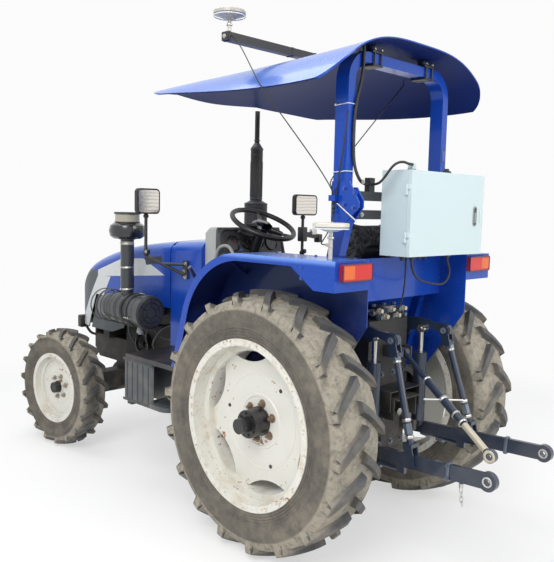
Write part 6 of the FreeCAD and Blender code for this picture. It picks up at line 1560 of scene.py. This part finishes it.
class TRACTOR_OT_hitch(bpy.types.Operator):
    """Add the hitch's collars, pins, chain, valves and guards"""
    bl_idname = "tractor.hitch"
    bl_label = "Build the hitch fittings"

    def execute(self, context):
        self.bench = Bench()
        self.paint = trim_paints()
        self.lift()
        self.links()
        self.top_link()
        self.valves()
        self.castings()
        self.bench.done()
        return {"FINISHED"}

    def lift(self):
        zinc = self.bench.lot("lift_rod_collars", self.paint["zinc"], "lift_rod_pair")
        dark = self.bench.lot("lift_rod_nuts", self.paint["steel_blue"], "lift_rod_pair")
        arms = self.bench.lot("lift_arm_pins", self.paint["steel_blue"], "rockshaft")
        for side in (1, -1):
            top = at(-0.4498, side * 0.210, 0.980)
            low = at(-0.600, side * 0.245, 0.484)
            run = low - top
            way = run.normalized()
            for share, radius, tall in ((0.18, 0.0165, 0.010), (0.66, 0.0175, 0.014), (0.80, 0.0175, 0.014)):
                add_ring(zinc, top + run * share, way, radius, 0.004, tall, 30)
            add_cyl(dark, top + run * 0.69, way, 0.0185, 0.045, 6)
            add_cyl(dark, top + run * 0.14, way, 0.0190, 0.022, 6)
            for out in (1, -1):
                spot = top + Vector((0, side * out * 0.0212, 0))
                add_cyl(dark, spot, (0, side * out, 0), 0.016, 0.004, 24)
                add_ring(zinc, spot + Vector((0, side * out * 0.003, 0)), (0, 1, 0), 0.010, 0.003, 0.003, 24)
            add_ring(arms, at(-0.210, side * 0.2225, 0.970), (0, 1, 0), 0.028, 0.008, 0.006, 40)
            add_bolt(arms, at(-0.210, side * 0.2220, 0.970), (0, side, 0), 0.018, 0.008)

    def links(self):
        body = "lower_link_pair"
        eye = self.bench.lot("link_eye_balls", self.paint["zinc"], body)
        clamp = self.bench.lot("link_clamps", self.paint["steel_blue"], body)
        for side in (1, -1):
            for out in (1, -1):
                add_ring(eye, at(-0.945, side * 0.245 + out * 0.0142, 0.500), (0, 1, 0), 0.0175, 0.008, 0.004, 40)
            slope = Matrix.Rotation(math.radians(-3), 4, "Y")
            add_block(clamp, at(-0.770, side * 0.245, 0.4915), (0.016, 0.030, 0.078), slope, 0.003)
            for z in (0.445, 0.538):
                add_bolt(clamp, at(-0.770, side * 0.2605, 0.4915 + (0.026 if z > 0.5 else -0.026)), (0, side, 0), 0.009, 0.006)
            add_ring(clamp, at(-0.060, side * 0.286, 0.460), (0, 1, 0), 0.020, 0.006, 0.005, 36)
            for share in (0.30, 0.50, 0.70):
                a = at(-0.075, side * 0.277, 0.452)
                b = at(-0.540, side * 0.245, 0.425)
                add_cyl(clamp, a + (b - a) * share, b - a, 0.015, 0.040, 6)
        chain = self.bench.lot("link_pin_chain", self.paint["zinc"], body)
        top = at(-0.828, 0.245, 0.4580)
        add_cyl(chain, top, (0, 0, -1), 0.009, 0.018, 16)
        z = top.z - 0.018
        for k in range(3):
            spot = Matrix.Translation(Vector((top.x - 0.002 * k, top.y, z - 0.010))) @ Matrix.Rotation(
                math.pi / 2 * (k % 2), 4, "Z") @ Matrix.Rotation(math.pi / 2, 4, "X")
            add_frame(chain, spot, 0.0065, 0.0125, 0.0060, 0.0035, 0.0035, 4)
            z -= 0.019
        add_cyl(chain, Vector((top.x - 0.006, top.y, z + 0.002)), (-0.1, 0, -1), 0.0050, 0.022, 12, 0.002)

    def top_link(self):
        body = "upper_link"
        a = at(-0.360, 0, 0.887)
        b = at(-0.930, 0.212, 0.590)
        run = b - a
        way = run.normalized()
        zinc = self.bench.lot("top_link_collars", self.paint["zinc"], body)
        for share, radius, tall in ((0.305, 0.0185, 0.012), (0.500, 0.0195, 0.018), (0.640, 0.0180, 0.010),
                                    (0.715, 0.0185, 0.012)):
            add_ring(zinc, a + run * share, way, radius, 0.005, tall, 32)
        across = way.cross(Vector((0, 0, 1))).normalized()
        add_rod(zinc, a + run * 0.5 - across * 0.105 - Vector((0, 0, 0.012)), a + run * 0.5 + across * 0.105 + Vector(
            (0, 0, 0.012)), 0.0042, 10)
        brass = self.bench.lot("top_link_end", self.paint["brass"], body)
        add_rod(brass, a + run * 0.735, a + run * 0.955, 0.0145, 20)
        add_ring(brass, b + Vector((0, 0.0115, 0)), (0, 1, 0), 0.0200, 0.013, 0.004, 40)
        add_ring(brass, b - Vector((0, 0.0115, 0)), (0, 1, 0), 0.0200, 0.013, 0.004, 40)

    def valves(self):
        blue = self.bench.lot("valve_ports", self.paint["steel_blue"])
        brass = self.bench.lot("valve_plugs", self.paint["brass"])
        for k in range(5):
            y = -0.108 + 0.047 * k
            for z in (1.046, 1.076):
                lot = brass if (k + int(z > 1.06)) % 2 else blue
                add_cyl(lot, at(-0.2625, y, z), (-1, 0, 0), 0.0135, 0.012, 6)
                add_cyl(lot, at(-0.2740, y, z), (-1, 0, 0), 0.0100, 0.016, 18)
        for k in range(3):
            add_cyl(blue, at(-0.228, -0.090 + 0.080 * k, 1.0915), (0, 0, 1), 0.011, 0.012, 6)

    def castings(self):
        bolts = self.bench.lot("housing_bolts", self.paint["steel_blue"])
        for y in (-0.125, -0.045, 0.045, 0.125):
            for z in (0.430, 0.770):
                add_bolt(bolts, at(-0.2702, y, z), (-1, 0, 0), 0.015, 0.009)
        for side in (1, -1):
            for z in (0.520, 0.600, 0.680):
                add_bolt(bolts, at(-0.2702, side * 0.132, z), (-1, 0, 0), 0.014, 0.008)
            for k in range(8):
                a = math.tau * k / 8 + 0.2
                add_bolt(bolts, at(0.078 * math.cos(a), side * 0.1502, 0.590 + 0.078 * math.sin(a) * 0.98), (0, side, 0),
                         0.013, 0.006, False)
        guard = self.bench.lot("pto_guard", self.paint["black"])
        bend = 0.115
        for side in (1, -1):
            add_block(guard, at(-0.325, side * bend, 0.668), (0.110, 0.006, 0.090), soft=0.002)
        add_block(guard, at(-0.325, 0, 0.714), (0.110, 0.236, 0.006), soft=0.002)
        ring = self.bench.lot("pto_ring", self.paint["zinc"])
        add_ring(ring, at(-0.271, 0, 0.600), (1, 0, 0), 0.045, 0.012, 0.008, 48)


class TRACTOR_OT_stage(bpy.types.Operator):
    """Set the floor, lights and camera"""
    bl_idname = "tractor.stage"
    bl_label = "Set the studio"

    def execute(self, context):
        stage = context.scene.tractor_stage
        self.floor(stage)
        self.lights(stage)
        self.camera(context.scene, stage)
        context.scene.view_settings.view_transform = "Standard"
        return {"FINISHED"}

    def floor(self, stage):
        bm = bmesh.new()
        bmesh.ops.create_grid(bm, x_segments=1, y_segments=1, size=stage.floor / 2)
        data = bpy.data.meshes.new("floor")
        bm.to_mesh(data)
        bm.free()
        floor = bpy.data.objects.new("floor", data)
        bpy.context.scene.collection.objects.link(floor)
        floor.location.z = -0.0005
        material = bpy.data.materials.new("floor_white")
        material.use_nodes = True
        g = Graph(material.node_tree)
        shader = material.node_tree.nodes["Principled BSDF"]
        shader.inputs["Base Color"].default_value = (0.90, 0.90, 0.90, 1)
        shader.inputs["Roughness"].default_value = 0.9
        shader.inputs["Specular IOR Level"].default_value = 0.0
        glow = g.add("ShaderNodeEmission")
        glow.inputs[0].default_value = (0.97, 0.97, 0.97, 1)
        path = g.add("ShaderNodeLightPath")
        seen = g.total("ADD", [path.outputs["Is Camera Ray"], path.outputs["Is Glossy Ray"],
                               path.outputs["Is Transmission Ray"]])
        far = g.step(g.length(g.shifted(g.place(), 0, 0, 0)), 1.9, 4.0)
        blend = g.add("ShaderNodeMixShader")
        g.put(blend.inputs[0], g.math("MULTIPLY", seen, g.math("MAXIMUM", far, 0.55), clamp=True))
        g.put(blend.inputs[1], shader.outputs[0])
        g.put(blend.inputs[2], glow.outputs[0])
        g.put(material.node_tree.nodes["Material Output"].inputs[0], blend.outputs[0])
        data.materials.append(material)

    def lights(self, stage):
        world = bpy.data.worlds.new("studio")
        bpy.context.scene.world = world
        world.use_nodes = True
        g = Graph(world.node_tree)
        background = world.node_tree.nodes["Background"]
        path = g.add("ShaderNodeLightPath")
        seen = g.total("ADD", [path.outputs["Is Camera Ray"], path.outputs["Is Glossy Ray"],
                               path.outputs["Is Transmission Ray"]])
        height = g.parts(g.add("ShaderNodeTexCoord").outputs["Generated"])[2]
        sky = g.mix(g.step(height, -0.15, 0.55), (0.42, 0.42, 0.42), (0.98, 0.99, 1.0))
        g.put(background.inputs[0], g.mix(seen, sky, (0.97, 0.97, 0.97)))
        strength = g.add("ShaderNodeMix", data_type="FLOAT")
        g.put(strength.inputs[0], seen)
        strength.inputs[2].default_value = 0.62
        strength.inputs[3].default_value = 1.0
        g.put(background.inputs[1], strength.outputs[0])
        lamps = (("key", (-2.5, 4.2, 4.6), 3.6, stage.key), ("rear", (-5.0, -1.2, 2.8), 3.2, 0.42 * stage.key),
                 ("top", (1.5, 0.5, 6.0), 4.0, 0.6 * stage.key))
        for name, place, size, power in lamps:
            light = bpy.data.lights.new(name, "AREA")
            light.shape = "DISK"
            light.size = size
            light.energy = power
            lamp = bpy.data.objects.new(name, light)
            bpy.context.scene.collection.objects.link(lamp)
            lamp.location = place
            aim = Vector((0, 0, 0.8)) - Vector(place)
            lamp.rotation_euler = aim.to_track_quat("-Z", "Y").to_euler()

    def camera(self, scene, stage):
        level = math.cos(stage.pitch)
        ahead = Vector((level * math.cos(stage.heading), level * math.sin(stage.heading), math.sin(stage.pitch)))
        right = ahead.cross(Vector((0, 0, 1))).normalized()
        up = right.cross(ahead)
        turn = Matrix.Rotation(stage.roll, 3, "Z")
        basis = Matrix((right, up, -ahead)).transposed() @ turn
        data = bpy.data.cameras.new("camera")
        data.lens = stage.lens
        data.sensor_width = 36.0
        data.shift_x = -0.0027
        data.shift_y = -0.0059
        camera = bpy.data.objects.new("camera", data)
        scene.collection.objects.link(camera)
        camera.matrix_world = Matrix.Translation(Vector(stage.place)) @ basis.to_4x4()
        scene.camera = camera


class TRACTOR_PT_panel(bpy.types.Panel):
    """Tractor looks"""
    bl_label = "Tractor"
    bl_idname = "TRACTOR_PT_panel"
    bl_space_type = "VIEW_3D"
    bl_region_type = "UI"
    bl_category = "Tractor"

    def draw(self, context):
        for settings in (context.scene.tractor_paint, context.scene.tractor_stage):
            for key in settings.bl_rna.properties.keys():
                if key not in ("rna_type", "name"):
                    self.layout.prop(settings, key)
        for step in STEPS:
            self.layout.operator(step.bl_idname)


STEPS = (TRACTOR_OT_paint, TRACTOR_OT_tyres, TRACTOR_OT_wheels, TRACTOR_OT_front, TRACTOR_OT_cockpit, TRACTOR_OT_roof,
         TRACTOR_OT_hitch, TRACTOR_OT_cords, TRACTOR_OT_seat, TRACTOR_OT_stage)
CLASSES = (TractorPaint, TractorStage, *STEPS, TRACTOR_PT_panel)


def register():
    for kind in CLASSES:
        bpy.utils.register_class(kind)
    bpy.types.Scene.tractor_paint = bpy.props.PointerProperty(type=TractorPaint)
    bpy.types.Scene.tractor_stage = bpy.props.PointerProperty(type=TractorStage)


def unregister():
    del bpy.types.Scene.tractor_stage
    del bpy.types.Scene.tractor_paint
    for kind in reversed(CLASSES):
        bpy.utils.unregister_class(kind)


def main():
    register()
    for name in [o.name for o in bpy.data.objects if o.type in ("CAMERA", "LIGHT")]:
        bpy.data.objects.remove(bpy.data.objects[name])
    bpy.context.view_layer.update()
    for step in STEPS:
        family, call = step.bl_idname.split(".")
        getattr(getattr(bpy.ops, family), call)()


if __name__ == "__main__":
    main()
